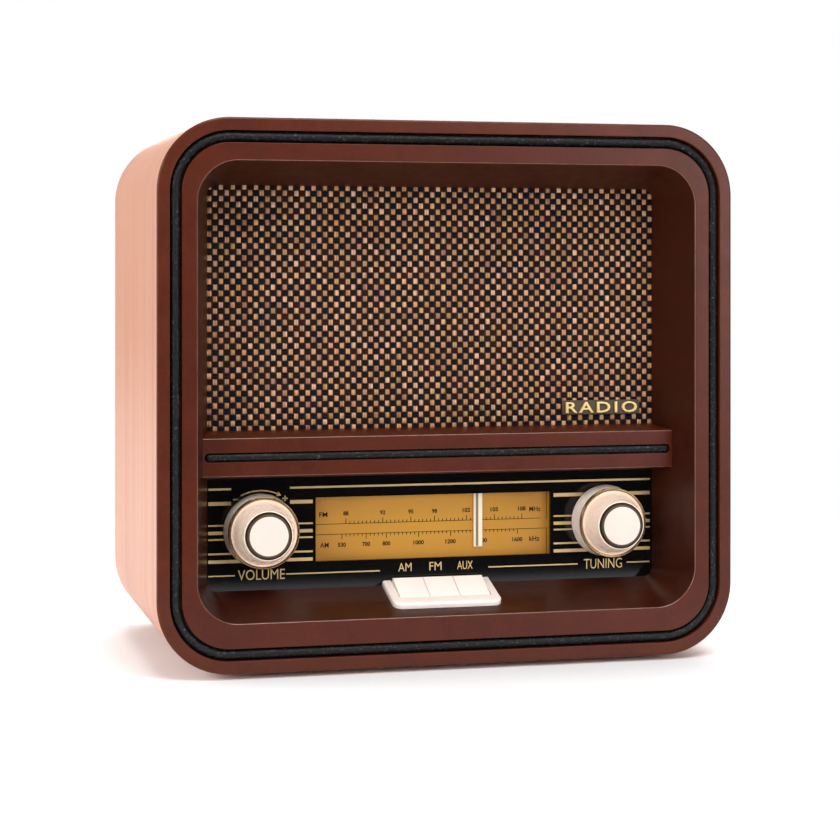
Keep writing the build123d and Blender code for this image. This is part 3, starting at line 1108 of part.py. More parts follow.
def build_rear_fittings():
    face = REAR_PANEL_BACK
    inlet = slab(fitting(INLET_X, INLET_WIDTH, INLET_HEIGHT), face - INLET_DEPTH, face + FITTING_LIP)
    flange = fitting(INLET_X, INLET_WIDTH + 2 * FLANGE_REACH, INLET_HEIGHT + FLANGE_REACH)
    inlet += slab(flange, face, face + FITTING_LIP)
    well = Pos(INLET_X, INLET_Z) * SlotOverall(WELL_WIDTH, WELL_HEIGHT)
    inlet -= slab(well, face - WELL_DEPTH, face + FITTING_LIP)
    for side in (-1, 1):
        pin_x = INLET_X + side * PIN_SPREAD / 2
        inlet += rod(pin_x, INLET_Z, PIN_RADIUS, face - WELL_DEPTH, face - PIN_RECESS)
    keep("mains_inlet", inlet)

    frame_width = ROCKER_WIDTH + 2 * ROCKER_FRAME
    frame_height = ROCKER_HEIGHT + 2 * ROCKER_FRAME
    housing = slab(fitting(ROCKER_X, frame_width, frame_height), face - WELL_DEPTH, face + FITTING_LIP)
    housing += slab(fitting(ROCKER_X, frame_width + 2 * ROCKER_FRAME, frame_height + 2 * ROCKER_FRAME),
                    face, face + FITTING_LIP)
    housing -= block(ROCKER_X - ROCKER_WIDTH / 2 - LOOSE_GAP, ROCKER_X + ROCKER_WIDTH / 2 + LOOSE_GAP,
                     face - ROCKER_POCKET, face + FITTING_LIP, INLET_Z - ROCKER_HEIGHT / 2 - ROCKER_END_GAP,
                     INLET_Z + ROCKER_HEIGHT / 2 + ROCKER_END_GAP)
    axle_depth = face - ROCKER_AXLE_INSET
    axle_line = Pos(ROCKER_X, FRONT_Y + axle_depth, INLET_Z) * Rot(0, 90, 0)
    housing += axle_line * Cylinder(ROCKER_AXLE_RADIUS, ROCKER_WIDTH + ROCKER_FRAME)
    keep("rocker_housing", housing)

    half = ROCKER_HEIGHT / 2
    belly = axle_depth - ROCKER_BELLY
    shoulder = axle_depth - ROCKER_AXLE_RADIUS
    points = [(axle_depth + ROCKER_END_RISE, -half), (axle_depth + ROCKER_MIDDLE_RISE, 0),
              (axle_depth + ROCKER_END_RISE, half), (shoulder, half - ROCKER_AXLE_RADIUS), (belly, half / 3),
              (belly, -half / 3), (shoulder, ROCKER_AXLE_RADIUS - half)]
    side_corner = (ROCKER_X - ROCKER_WIDTH / 2, FRONT_Y, INLET_Z)
    side_plane = Plane(origin=side_corner, x_dir=(0, 1, 0), z_dir=(1, 0, 0))
    rocker = extrude(side_plane * make_face(Polyline(*points, close=True)), amount=ROCKER_WIDTH)
    rocker -= axle_line * Cylinder(ROCKER_AXLE_RADIUS + SHAFT_CLEARANCE, ROCKER_WIDTH + ROCKER_FRAME)
    hinge_line = Axis((ROCKER_X, FRONT_Y + axle_depth, INLET_Z), (1, 0, 0))
    keep("power_rocker", rocker.rotate(hinge_line, ROCKER_TILT))

    mouth_half = SOCKET_WIDTH / 2 - SOCKET_WALL
    mouth_rise = SOCKET_HEIGHT / 2 - SOCKET_WALL
    floor_depth = face - SOCKET_DEPTH + SOCKET_FLOOR
    socket = slab(fitting(SOCKET_X, SOCKET_WIDTH, SOCKET_HEIGHT), face - SOCKET_DEPTH, face + SOCKET_LIP)
    socket -= block(SOCKET_X - mouth_half, SOCKET_X + mouth_half, floor_depth, face + SOCKET_LIP,
                    INLET_Z - mouth_rise, INLET_Z + mouth_rise)
    tongue_half = mouth_half - TONGUE_GAP
    tongue_bottom = INLET_Z + TONGUE_RISE
    socket += block(SOCKET_X - tongue_half, SOCKET_X + tongue_half, floor_depth - SOCKET_LIP,
                    face - TONGUE_RECESS, tongue_bottom, tongue_bottom + TONGUE_THICKNESS)
    keep("usb_socket", socket)


# ================================================================ build and write
build_cabinet()
build_base()
build_front_frame()
build_piping()
build_baffle()
build_speaker()
build_dial()
build_pointer()
build_knob(-1, "volume", turns_spindle=False)
build_knob(1, "tuning", turns_spindle=True)
build_control_mounts()
build_drive()
build_keys()
build_chassis()
build_electronics()
build_back()
build_rear_fittings()

os.makedirs("parts", exist_ok=True)
for node_name, solids in NODES.items():
    node_shape = solids[0] if len(solids) == 1 else Compound(children=solids)
    export_step(node_shape, "parts/" + node_name + ".step")
print(len(NODES), "nodes")
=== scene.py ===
"""The looks of a retro table radio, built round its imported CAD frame.

Metres: +X to the right seen from the front, +Y to the back, +Z up. "Depth" is the distance behind the
front face of the rim.
"""
import json
import random
from math import atan2, cos, pi, radians, sin, tan

import bmesh
import bpy
import numpy as np
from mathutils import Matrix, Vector, noise


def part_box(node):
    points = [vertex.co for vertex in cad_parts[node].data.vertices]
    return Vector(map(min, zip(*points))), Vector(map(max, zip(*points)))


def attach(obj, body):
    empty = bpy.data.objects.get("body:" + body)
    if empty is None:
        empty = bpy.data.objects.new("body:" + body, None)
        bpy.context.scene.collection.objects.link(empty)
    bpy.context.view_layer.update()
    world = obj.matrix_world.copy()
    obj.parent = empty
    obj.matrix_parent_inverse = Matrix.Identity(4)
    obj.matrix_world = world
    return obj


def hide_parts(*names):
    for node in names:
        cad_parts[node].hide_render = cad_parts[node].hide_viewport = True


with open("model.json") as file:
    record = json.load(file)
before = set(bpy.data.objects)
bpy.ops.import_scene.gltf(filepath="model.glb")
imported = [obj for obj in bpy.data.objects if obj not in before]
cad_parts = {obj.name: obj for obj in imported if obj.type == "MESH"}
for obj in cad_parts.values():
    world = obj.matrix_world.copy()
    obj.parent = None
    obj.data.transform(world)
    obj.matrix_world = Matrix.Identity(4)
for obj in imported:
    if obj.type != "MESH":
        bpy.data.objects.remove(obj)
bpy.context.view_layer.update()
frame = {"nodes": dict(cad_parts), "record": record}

NODES = frame["nodes"]
MM = 0.001
SLOT_OF = {part["node"]: part["material_slot"] for part in frame["record"]["subparts"]}
BODY_OF = {node: body for body, nodes in frame["record"]["behaviour"]["bodies"].items() for node in nodes}

# ---------------------------------------------------------------- places read from the frame
RIM_LOW, RIM_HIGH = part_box("front_rim")
SHELL_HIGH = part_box("cabinet_shell")[1]
FRAME_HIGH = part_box("front_frame")[1]
PIPING_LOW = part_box("rim_piping")[0]
BAR_PIPING_LOW, BAR_PIPING_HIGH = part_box("bar_piping")
CLOTH_LOW, CLOTH_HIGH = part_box("grille_cloth")
BADGE_LOW, BADGE_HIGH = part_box("grille_badge")
PANEL_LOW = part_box("dial_panel")[0]
SCALE_LOW, SCALE_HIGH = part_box("dial_scale")
FRONT = RIM_LOW.y
HALF_WIDTH = RIM_HIGH.x
BASE_Z = RIM_LOW.z
TOP_Z = RIM_HIGH.z
MID_Z = (BASE_Z + TOP_Z) / 2

# ---------------------------------------------------------------- sizes the frame's boxes don't give
CORNER_RADIUS = 39 * MM
WALL = 12 * MM
RIM_WIDTH = 7 * MM
RIM_ROUND = 1.4 * MM
EDGE_ROUND = 0.8 * MM
SEAM_ROUND = 0.35 * MM
BACK_ROUND = 1.5 * MM
GROOVE_WIDTH = 6.4 * MM
GROOVE_DEPTH = 5 * MM
STRIP_SIDE = 8.1 * MM
STRIP_TOP = 9.2 * MM
STRIP_BOTTOM = 13 * MM
MOULDING = 3 * MM
MOUTH_RADIUS = 22 * MM
DEEP_RADIUS = 5 * MM
RECESS_INSET_SIDE = 11 * MM
RECESS_INSET_ENDS = 11.7 * MM
BAR_FRONT_DEPTH = 20 * MM
BAR_FRONT_HALF = 10.35 * MM
BAR_BACK_HALF = 12.95 * MM
BAR_GROOVE_HALF = 2.45 * MM
BAR_GROOVE_DEPTH = 3 * MM
BAR_GROOVE_END = 0.9 * MM
RECESS_DEPTH = FRAME_HIGH.y - FRONT
RIM_DEPTH = RIM_HIGH.y - FRONT
BAR_Z = (BAR_PIPING_LOW.z + BAR_PIPING_HIGH.z) / 2
STRIP_OUTER = RIM_WIDTH + GROOVE_WIDTH
MOUTH_X = HALF_WIDTH - STRIP_OUTER - STRIP_SIDE
MOUTH_TOP = TOP_Z - STRIP_OUTER - STRIP_TOP
MOUTH_BOTTOM = BASE_Z + STRIP_OUTER + STRIP_BOTTOM
FLOOR_SLOPE = atan2(RECESS_INSET_ENDS, RECESS_DEPTH)
PRINT_LIFT = 0.04 * MM
ROUND_SLACK = 0.02 * MM
SHARP_ANGLE = radians(35)


def at_depth(depth):
    """The Y of a depth behind the rim's front face."""
    return FRONT + depth


# ================================================================ materials
def wired(tree, kind, values=(), **settings):
    """A new shader node with its settings and its (socket, value) inputs."""
    made = tree.nodes.new("ShaderNode" + kind)
    for setting, value in settings.items():
        setattr(made, setting, value)
    for socket, value in values:
        if isinstance(value, bpy.types.NodeSocket):
            tree.links.new(value, made.inputs[socket])
        else:
            made.inputs[socket].default_value = value
    return made


def ramp_through(tree, factor, *stops):
    """A colour ramp through (place, colour) stops."""
    made = wired(tree, "ValToRGB", [("Fac", factor)])
    elements = made.color_ramp.elements
    for index, (place, color) in enumerate(stops):
        element = elements[index] if index < 2 else elements.new(place)
        element.position = place
        element.color = (*color, 1)
    return made.outputs["Color"]


class Recipe:
    """A procedural material: one Principled shader and the nodes that feed it."""

    def __init__(self, name, color, roughness, **sockets):
        self.material = bpy.data.materials.new(name)
        self.material.use_nodes = True
        self.tree = self.material.node_tree
        self.shader = self.tree.nodes["Principled BSDF"]
        self.coordinates = None
        self.set("Base Color", (*color, 1))
        self.set("Roughness", roughness)
        for socket, value in sockets.items():
            self.set(socket.replace("_", " "), value)

    def set(self, socket, value):
        """A constant, or another node's output, on one of the shader's sockets."""
        target = self.shader.inputs[socket]
        if isinstance(value, bpy.types.NodeSocket):
            self.tree.links.new(value, target)
        else:
            target.default_value = value

    def node(self, kind, values=(), **settings):
        return wired(self.tree, kind, values, **settings)

    def place(self, stretch=(1, 1, 1)):
        """Object coordinates, multiplied along each axis."""
        if self.coordinates is None:
            self.coordinates = self.node("TexCoord").outputs["Object"]
        return self.node("Mapping", [("Vector", self.coordinates), ("Scale", stretch)]).outputs[0]

    def noise(self, scale, stretch=(1, 1, 1), detail=3.0, rough=0.5, twist=0.0, vector=None):
        """Noise in object space; scale is in cells a metre."""
        place = vector if vector is not None else self.place(stretch)
        values = [("Vector", place), ("Scale", scale), ("Detail", detail), ("Roughness", rough),
                  ("Distortion", twist)]
        return self.node("TexNoise", values).outputs["Fac"]

    def attribute(self, name, output="Fac"):
        return self.node("Attribute", attribute_name=name).outputs[output]

    def ramp(self, factor, *stops):
        return ramp_through(self.tree, factor, *stops)

    def multiplied(self, first, second, share=1.0):
        """One colour times another."""
        made = self.node("Mix", data_type="RGBA", blend_type="MULTIPLY")
        self.tree.links.new(first, made.inputs["A"])
        self.tree.links.new(second, made.inputs["B"])
        made.inputs["Factor"].default_value = share
        return made.outputs["Result"]

    def math(self, operation, first, second=0.0):
        return self.node("Math", [(0, first), (1, second)], operation=operation).outputs[0]

    def between(self, value, low, high, to_low, to_high):
        """A value moved from one range to another."""
        values = [("Value", value), ("From Min", low), ("From Max", high), ("To Min", to_low),
                  ("To Max", to_high)]
        return self.node("MapRange", values).outputs["Result"]

    def uneven_gloss(self, height, roughness, spread):
        """Roughness that wanders with a noise, by a share either way."""
        low, high = roughness * (1 - spread), roughness * (1 + spread)
        self.set("Roughness", self.between(height, 0.3, 0.7, low, high))

    def bump(self, height, distance, strength=1.0):
        """Surface relief of a given height in metres."""
        values = [("Height", height), ("Distance", distance), ("Strength", strength)]
        self.set("Normal", self.node("Bump", values).outputs["Normal"])
        return self

    def grain_color(self, factor, *stops):
        self.set("Base Color", self.ramp(factor, *stops))
        return self


def tones(color, *shades):
    """Colour stops at even places, each the same colour times a shade."""
    last = max(len(shades) - 1, 1)
    return [(0.3 + 0.4 * index / last, tuple(part * shade for part in color))
            for index, shade in enumerate(shades)]


def moulded(name, color, roughness, speckle=900, relief=0.02 * MM, spread=0.12, **sockets):
    """A moulded or painted surface: faint mottling, uneven gloss and a fine grain."""
    recipe = Recipe(name, color, roughness, **sockets)
    cloud = recipe.noise(60, detail=4)
    recipe.grain_color(cloud, *tones(color, 1 - spread, 1, 1 + spread))
    recipe.uneven_gloss(recipe.noise(260, detail=3), roughness, 0.15)
    return recipe.bump(recipe.noise(speckle, detail=2), relief, 0.4)


def brushed(name, color, roughness, stretch=(1, 1, 1), spread=0.1):
    """A metal with fine directional scratches."""
    recipe = Recipe(name, color, roughness, Metallic=1.0)
    lines = recipe.noise(1500, stretch=stretch, detail=2)
    recipe.grain_color(recipe.noise(90, detail=3), *tones(color, 1 - spread, 1, 1 + spread))
    recipe.set("Roughness", recipe.between(lines, 0.3, 0.7, roughness * 0.75, roughness * 1.3))
    return recipe.bump(lines, 0.004 * MM, 0.5)


def veneer_recipe(name, light, dark):
    """Straight-grained veneer: fine lines at constant depth that wander a little round the wrap."""
    recipe = Recipe(name, light, 0.42, Coat_Weight=0.15, Coat_Roughness=0.3)
    place = recipe.place()
    axes = recipe.node("SeparateXYZ", [("Vector", place)]).outputs
    wander = recipe.noise(14, detail=2)
    drift = recipe.math("MULTIPLY", recipe.math("SUBTRACT", wander, 0.5), 9 * MM)
    across = recipe.math("ADD", axes["Y"], drift)
    along = recipe.attribute("around")

    def grain(around_scale, depth_scale, **options):
        values = [("X", recipe.math("MULTIPLY", along, around_scale)),
                  ("Y", recipe.math("MULTIPLY", across, depth_scale))]
        return recipe.noise(1.0, vector=recipe.node("CombineXYZ", values).outputs[0], **options)

    fine = grain(9.0, 620.0, detail=4, rough=0.6)
    broad = grain(3.0, 95.0, detail=3)
    fleck = grain(130.0, 2600.0, detail=1)
    mixed = recipe.math("ADD", recipe.math("MULTIPLY", fine, 0.55), recipe.math("MULTIPLY", broad, 0.45))
    between = tuple((a + b) / 2 for a, b in zip(light, dark))
    base = recipe.ramp(mixed, (0.34, dark), (0.5, between), (0.64, light))
    pores = recipe.ramp(fleck, (0.27, (0.62, 0.55, 0.5)), (0.36, (1, 1, 1)))
    recipe.set("Base Color", recipe.multiplied(base, pores, 0.75))
    recipe.set("Roughness", recipe.between(fine, 0.3, 0.7, 0.36, 0.52))
    return recipe.bump(recipe.math("ADD", fine, fleck), 0.05 * MM, 0.5)


def lacquer_recipe(name, color, roughness, **sockets):
    """Mahogany-stained, satin lacquered surface with long soft streaks and a fine orange peel."""
    recipe = Recipe(name, color, roughness, **sockets)
    streaks = recipe.noise(45, detail=5, rough=0.6, twist=0.4)
    fine = recipe.noise(420, detail=3)
    mixed = recipe.math("ADD", recipe.math("MULTIPLY", streaks, 0.65), recipe.math("MULTIPLY", fine, 0.35))
    recipe.grain_color(mixed, *tones(color, 0.72, 1.0, 1.24))
    recipe.uneven_gloss(recipe.noise(150, detail=3), roughness, 0.12)
    return recipe.bump(recipe.noise(700, detail=2), 0.012 * MM, 0.5)


def leather_recipe(name):
    """Black leather cord cover: pebbles whose lighter tops are a painted highlight."""
    recipe = Recipe(name, (0.006, 0.006, 0.007), 0.4, Specular_IOR_Level=0.25)
    pebble = recipe.noise(850, detail=2, twist=0.6)
    # Painted highlight: the pebble tops are lighter in colour, standing in for the gleam of the lights.
    recipe.grain_color(pebble, (0.5, (0.003, 0.003, 0.004)), (0.6, (0.007, 0.0065, 0.007)),
                       (0.72, (0.07, 0.065, 0.068)))
    recipe.set("Roughness", recipe.between(pebble, 0.4, 0.7, 0.6, 0.35))
    return recipe.bump(pebble, 0.25 * MM, 0.7)


def yarn_recipe(name, attribute, roughness):
    """Dyed yarn: a colour stored on each thread, with fibres along it."""
    recipe = Recipe(name, (0.3, 0.2, 0.15), roughness, Specular_IOR_Level=0.05)
    fibre = recipe.noise(5200, detail=2)
    shade = recipe.ramp(fibre, (0.3, (0.62, 0.6, 0.58)), (0.68, (1.12, 1.1, 1.08)))
    recipe.set("Base Color", recipe.multiplied(recipe.attribute(attribute, "Color"), shade))
    return recipe.bump(fibre, 0.05 * MM, 0.6)


VENEER_LIGHT = (0.56, 0.245, 0.135)
VENEER_DARK = (0.4, 0.15, 0.075)
RIM_SIDE_LIGHT = (0.50, 0.22, 0.135)
RIM_SIDE_DARK = (0.4, 0.165, 0.1)
LACQUER = (0.076, 0.013, 0.004)
FRAME_BROWN = (0.07, 0.0105, 0.003)
RECESS_SHADED_BROWN = (0.036, 0.006, 0.0022)
EDGE_HIGHLIGHT_BROWN = (0.17, 0.075, 0.05)
GILT = (0.86, 0.62, 0.27)
GILT_PRINT = (0.62, 0.43, 0.2)
CHAMPAGNE = (0.93, 0.72, 0.58)
CREAM = (0.97, 0.86, 0.79)
AMBER = (0.36, 0.165, 0.006)
BLACK_GLOSS = (0.0032, 0.0028, 0.0028)
ROUGH_STEEL = (0.42, 0.42, 0.41)

veneer = veneer_recipe("veneer_peach", VENEER_LIGHT, VENEER_DARK)
rim_side = veneer_recipe("veneer_rim_side", RIM_SIDE_LIGHT, RIM_SIDE_DARK)
SATIN = {"Specular_IOR_Level": 0.22, "Coat_Weight": 0.06, "Coat_Roughness": 0.2}
lacquer = lacquer_recipe("lacquered_rim", LACQUER, 0.36, **SATIN)
moulding = lacquer_recipe("mahogany_moulding", FRAME_BROWN, 0.36, **SATIN)
# Painted shade: the funnel walls of the recess take a darker brown than the moulding round them.
recess_painted_shade = lacquer_recipe("mahogany_recess_shade_paint", RECESS_SHADED_BROWN, 0.36, **{**SATIN, "Specular_IOR_Level": 0.25})
# Painted highlight on rounded edges: the lighter brown stands in for their gleam; the stronger coat adds
# real gloss.
edge_painted_highlight = lacquer_recipe("mahogany_edge_highlight_paint", EDGE_HIGHLIGHT_BROWN, 0.3, Coat_Weight=0.3, Coat_Roughness=0.2)
piping_black = leather_recipe("piping_black")
yarn = yarn_recipe("grille_yarn", "thread", 0.75)
cloth_back = moulded("grille_backing", (0.006, 0.004, 0.004), 0.9, speckle=2500, relief=0.08 * MM)
gilt = brushed("gilt_polished", GILT, 0.24)
dark_gilt = brushed("gilt_knob_ring", (0.3, 0.2, 0.09), 0.22)
badge_gilt = moulded("badge_gilt", (0.8, 0.56, 0.22), 0.3, spread=0.06, relief=0.004 * MM, Metallic=0.35)
gilt_print = moulded("gilt_print", GILT_PRINT, 0.38, speckle=4000, relief=0.006 * MM, spread=0.08,
                     Metallic=0.55)
skirt_metal = moulded("champagne_skirt", (0.92, 0.78, 0.7), 0.3, spread=0.05, relief=0.02 * MM)
cone_metal = moulded("champagne_cone", CHAMPAGNE, 0.28, spread=0.04, relief=0.008 * MM)
cap_cream = moulded("cap_cream", (0.74, 0.6, 0.53), 0.38, spread=0.03, relief=0.01 * MM, Coat_Weight=0.2)
# Dark lines on the knobs; used on the badge plate, this dark is painted shadow.
dark_lines_and_badge_shadow = moulded("knob_lines_and_badge_painted_shadow", (0.055, 0.035, 0.016), 0.4)
cream = moulded("cream_plastic", CREAM, 0.36, spread=0.03, relief=0.01 * MM, Coat_Weight=0.15)
pointer_cream = moulded("pointer_cream", (0.95, 0.86, 0.66), 0.35, spread=0.03)
# Painted gap: this dark strip on the pointer splits off a thin bright sliver, a painted reflection of the
# pointer.
pointer_painted_reflection_gap = moulded("pointer_painted_reflection_gap", (0.3, 0.18, 0.1), 0.4)
panel_black = moulded("panel_black", BLACK_GLOSS, 0.07, speckle=500, relief=0.002 * MM,
                      Specular_IOR_Level=0.4)
scale_ink = moulded("scale_ink", (0.014, 0.006, 0.003), 0.7, Specular_IOR_Level=0.1)
hardboard = moulded("plain_hardboard", (0.055, 0.04, 0.03), 0.75, speckle=1400, relief=0.12 * MM)


def amber_recipe():
    """An amber dial with a painted glow: colour and emission brighter in its middle, dimmer to the top and
    the ends.
    """
    recipe = Recipe("dial_amber_painted_glow", AMBER, 0.55, Emission_Strength=0.34)
    middle = (SCALE_LOW + SCALE_HIGH) / 2
    half = (SCALE_HIGH - SCALE_LOW) / 2
    shifted = recipe.node("VectorMath", [(0, recipe.place()), (1, middle)],
                          operation="SUBTRACT").outputs[0]
    scaled = recipe.node("VectorMath", [(0, shifted), (1, (0.8 / half.x, 0, 0.75 / half.z))],
                         operation="MULTIPLY").outputs[0]
    away = recipe.node("VectorMath", [(0, scaled)], operation="LENGTH").outputs["Value"]
    cloud = recipe.math("ADD", away, recipe.math("MULTIPLY", recipe.noise(30), 0.15))
    # Painted glow: the plate is no lamp; its emission and its base colour fall off from the middle.
    recipe.grain_color(cloud, (0.1, AMBER), (0.7, (0.36, 0.165, 0.01)), (1.0, (0.27, 0.115, 0.008)))
    recipe.set("Emission Color", recipe.ramp(cloud, (0.1, (0.75, 0.36, 0.03)), (1.0, (0.45, 0.19, 0.016))))
    return recipe.bump(recipe.noise(900), 0.01 * MM, 0.3)


def glass_recipe():
    """A thin clear window, seen mostly by its gloss."""
    recipe = moulded("clear_window", (0.01, 0.01, 0.01), 0.05, relief=0.001 * MM, Alpha=0.05,
                     Specular_IOR_Level=0.3)
    recipe.material.blend_method = "BLEND"
    return recipe


FINISHES = {
    "veneer": veneer, "lacquered_wood": lacquer, "mahogany_moulding": moulding, "black_piping": piping_black,
    "grille_weave": yarn, "gilt": gilt,
    "fibreboard": moulded("fibreboard", (0.28, 0.16, 0.085), 0.8, relief=0.1 * MM),
    "grey_steel": brushed("grey_steel", ROUGH_STEEL, 0.45),
    "bright_steel": brushed("bright_steel", (0.6, 0.6, 0.6), 0.25),
    "paper_cone": moulded("paper_cone", (0.03, 0.028, 0.026), 0.85, relief=0.1 * MM),
    "black_rubber": moulded("black_rubber", (0.02, 0.02, 0.02), 0.7, relief=0.06 * MM),
    "ferrite": moulded("ferrite", (0.04, 0.04, 0.045), 0.55),
    "black_gloss": panel_black, "clear": glass_recipe(),
    "amber_print": amber_recipe(), "white_plastic": moulded("white_plastic", (0.75, 0.74, 0.7), 0.4),
    "cream_plastic": cream, "pointer_cream": pointer_cream,
    "dial_cord_fibre": moulded("dial_cord_fibre", (0.5, 0.42, 0.28), 0.85, speckle=5000, relief=0.08 * MM),
    "green_board": moulded("green_board", (0.015, 0.12, 0.045), 0.4),
    "component": moulded("component", (0.1, 0.1, 0.11), 0.4),
    "copper_winding": brushed("copper_winding", (0.62, 0.28, 0.13), 0.35, stretch=(1, 1, 0.05)),
    "black_plastic": moulded("black_plastic", (0.018, 0.018, 0.019), 0.42, speckle=1600, relief=0.05 * MM),
    "hardboard": hardboard,
}


def dress_cad_nodes():
    """Give every CAD node the finish that its material slot names."""
    for name, node in NODES.items():
        finish = FINISHES[SLOT_OF[name]].material
        node.data.materials.clear()
        node.data.materials.append(finish)


# ================================================================ making pieces
def piece(name, node, points, faces, finishes, picks=None, weld=True, replaced=None):
    """A mesh that rides on its CAD node's body and stands for it."""
    mesh = bpy.data.meshes.new(name)
    mesh.from_pydata([tuple(point) for point in points], [], faces)
    if picks is not None:
        mesh.polygons.foreach_set("material_index", picks)
    return finished(name, node, mesh, finishes, weld, [node] if replaced is None else replaced)


def placed_in_scene(name, data):
    made = bpy.data.objects.new(name, data)
    bpy.context.scene.collection.objects.link(made)
    return made


def baked(made):
    """The mesh that an object's modifiers or curve settings give."""
    return bpy.data.meshes.new_from_object(made.evaluated_get(bpy.context.evaluated_depsgraph_get()))


def points_of(rows):
    return [point for row in rows for point in row]


def finished(name, node, mesh, finishes, weld, replaced):
    if weld:
        work = bmesh.new()
        work.from_mesh(mesh)
        bmesh.ops.remove_doubles(work, verts=work.verts, dist=0.001 * MM)
        bmesh.ops.recalc_face_normals(work, faces=work.faces)
        work.to_mesh(mesh)
        work.free()
    mesh.validate()
    for finish in finishes:
        mesh.materials.append(finish.material)
    mesh.shade_smooth()
    mesh.set_sharp_from_angle(angle=SHARP_ANGLE)
    made = placed_in_scene(name, mesh)
    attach(made, BODY_OF[node])
    if replaced:
        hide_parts(*replaced)
    return made


def outline(half_width, low, high, radius, depth, corner_steps=14, side_step=None):
    """Points round an upright rounded rectangle at one depth, anticlockwise seen from the front."""
    y = at_depth(depth)
    corners = [(half_width - radius, low + radius, -90), (half_width - radius, high - radius, 0),
               (radius - half_width, high - radius, 90), (radius - half_width, low + radius, 180)]
    points = []
    for index, (x, z, start) in enumerate(corners):
        for step in range(corner_steps + 1):
            angle = radians(start + 90 * step / corner_steps)
            points.append((x + radius * cos(angle), y, z + radius * sin(angle)))
        if side_step:
            next_x, next_z, next_start = corners[(index + 1) % 4]
            turn = radians(next_start)
            end = Vector((next_x + radius * cos(turn), y, next_z + radius * sin(turn)))
            begin = Vector(points[-1])
            count = side_step[index % 2]
            points += [tuple(begin.lerp(end, step / count)) for step in range(1, count)]
    return points


def ring_rows(rows, closed):
    """Faces between rows of points that each go once round."""
    count = len(rows[0])
    pairs = list(zip(range(len(rows)), range(1, len(rows))))
    if closed:
        pairs.append((len(rows) - 1, 0))
    return [(a * count + i, a * count + (i + 1) % count, b * count + (i + 1) % count, b * count + i)
            for a, b in pairs for i in range(count)]


def around(rows):
    """How far round its row each point lies, in metres, for grain that follows the wrap."""
    row = [Vector(point) for point in rows[0]]
    lengths = [0.0]
    for here, after in zip(row, row[1:]):
        lengths.append(lengths[-1] + (after - here).length)
    return lengths * len(rows)


def loft(name, node, stations, finishes, closed=True, caps=False, row_finish=None, **options):
    """A skin over outlines given as (half width, low, high, corner radius, depth)."""
    shape = {key: options.pop(key) for key in ("corner_steps", "side_step") if key in options}
    rows = [outline(*station, **shape) for station in stations]
    faces = ring_rows(rows, closed)
    count = len(rows[0])
    picks = [row_finish[index // count] for index in range(len(faces))] if row_finish else [0] * len(faces)
    if caps:
        faces.append(tuple(range(count)))
        faces.append(tuple(reversed(range((len(rows) - 1) * count, len(rows) * count))))
        picks += [picks[0], picks[-1]]
    mesh = bpy.data.meshes.new(name)
    mesh.from_pydata(points_of(rows), [], faces)
    mesh.polygons.foreach_set("material_index", picks)
    lengths = mesh.attributes.new("around", "FLOAT", "POINT")
    lengths.data.foreach_set("value", around(rows))
    return flattened(finished(name, node, mesh, finishes, True, options.get("replaced", [node])))


def flattened(made):
    """Weight the shading by face area, so flat faces look flat up to their rounded edges."""
    weigh = made.modifiers.new("weigh", "WEIGHTED_NORMAL")
    weigh.keep_sharp = True
    weigh.weight = 80
    result = baked(made)
    made.modifiers.clear()
    made.data = result
    return made


def inset(amount, depth):
    """The cabinet's outline, this far inside its edge."""
    return (HALF_WIDTH - amount, BASE_Z + amount, TOP_Z - amount, max(CORNER_RADIUS - amount, 1 * MM), depth)


def rounded_step(amount, depth, radius, turn_in=True, steps=4):
    """Cabinet outlines round an edge: from the side onto the front face, or from the front into a side."""
    stations = []
    for step in range(steps + 1):
        angle = pi / 2 * step / steps
        off_side = 1 - cos(angle) if turn_in else sin(angle) - 1
        off_front = 1 - sin(angle) if turn_in else 1 - cos(angle)
        stations.append(inset(amount + radius * off_side, depth + radius * off_front))
    return stations


# ================================================================ cabinet and rim
def build_cabinet():
    front = [inset(SEAM_ROUND, RIM_DEPTH), inset(0, RIM_DEPTH + SEAM_ROUND)]
    depth = SHELL_HIGH.y - FRONT
    turns = [pi / 8 * step for step in range(5)]
    back = [inset(BACK_ROUND * (1 - cos(turn)), depth - BACK_ROUND * (1 - sin(turn))) for turn in turns]
    inside = [inset(WALL, depth), inset(WALL, RIM_DEPTH)]
    loft("cabinet_wrap", "cabinet_shell", front + back + inside, [veneer, hardboard],
         row_finish=[0] * (len(front) + len(back)) + [1, 1], corner_steps=24)


def build_rim():
    outer = [inset(SEAM_ROUND, RIM_DEPTH), inset(0, RIM_DEPTH - SEAM_ROUND)]
    front = rounded_step(0, 0, RIM_ROUND)
    inner = rounded_step(RIM_WIDTH, 0, EDGE_ROUND / 2, turn_in=False)
    stations = outer + front + inner + [inset(RIM_WIDTH, RIM_DEPTH)]
    picks = [1, 1, 1] + [0] * (len(stations) - 3)
    loft("rim_ring", "front_rim", stations, [lacquer, rim_side], row_finish=picks, corner_steps=24)


# ================================================================ front frame
def mouth(share, grow=0.0):
    """The recess's outline, from 0 at the mouth to 1 at the deep end."""
    side = RECESS_INSET_SIDE * share
    ends = RECESS_INSET_ENDS * share
    radius = MOUTH_RADIUS + (DEEP_RADIUS - MOUTH_RADIUS) * share
    return (MOUTH_X - side + grow, MOUTH_BOTTOM + ends - grow, MOUTH_TOP - ends + grow, radius + grow,
            RECESS_DEPTH * share)


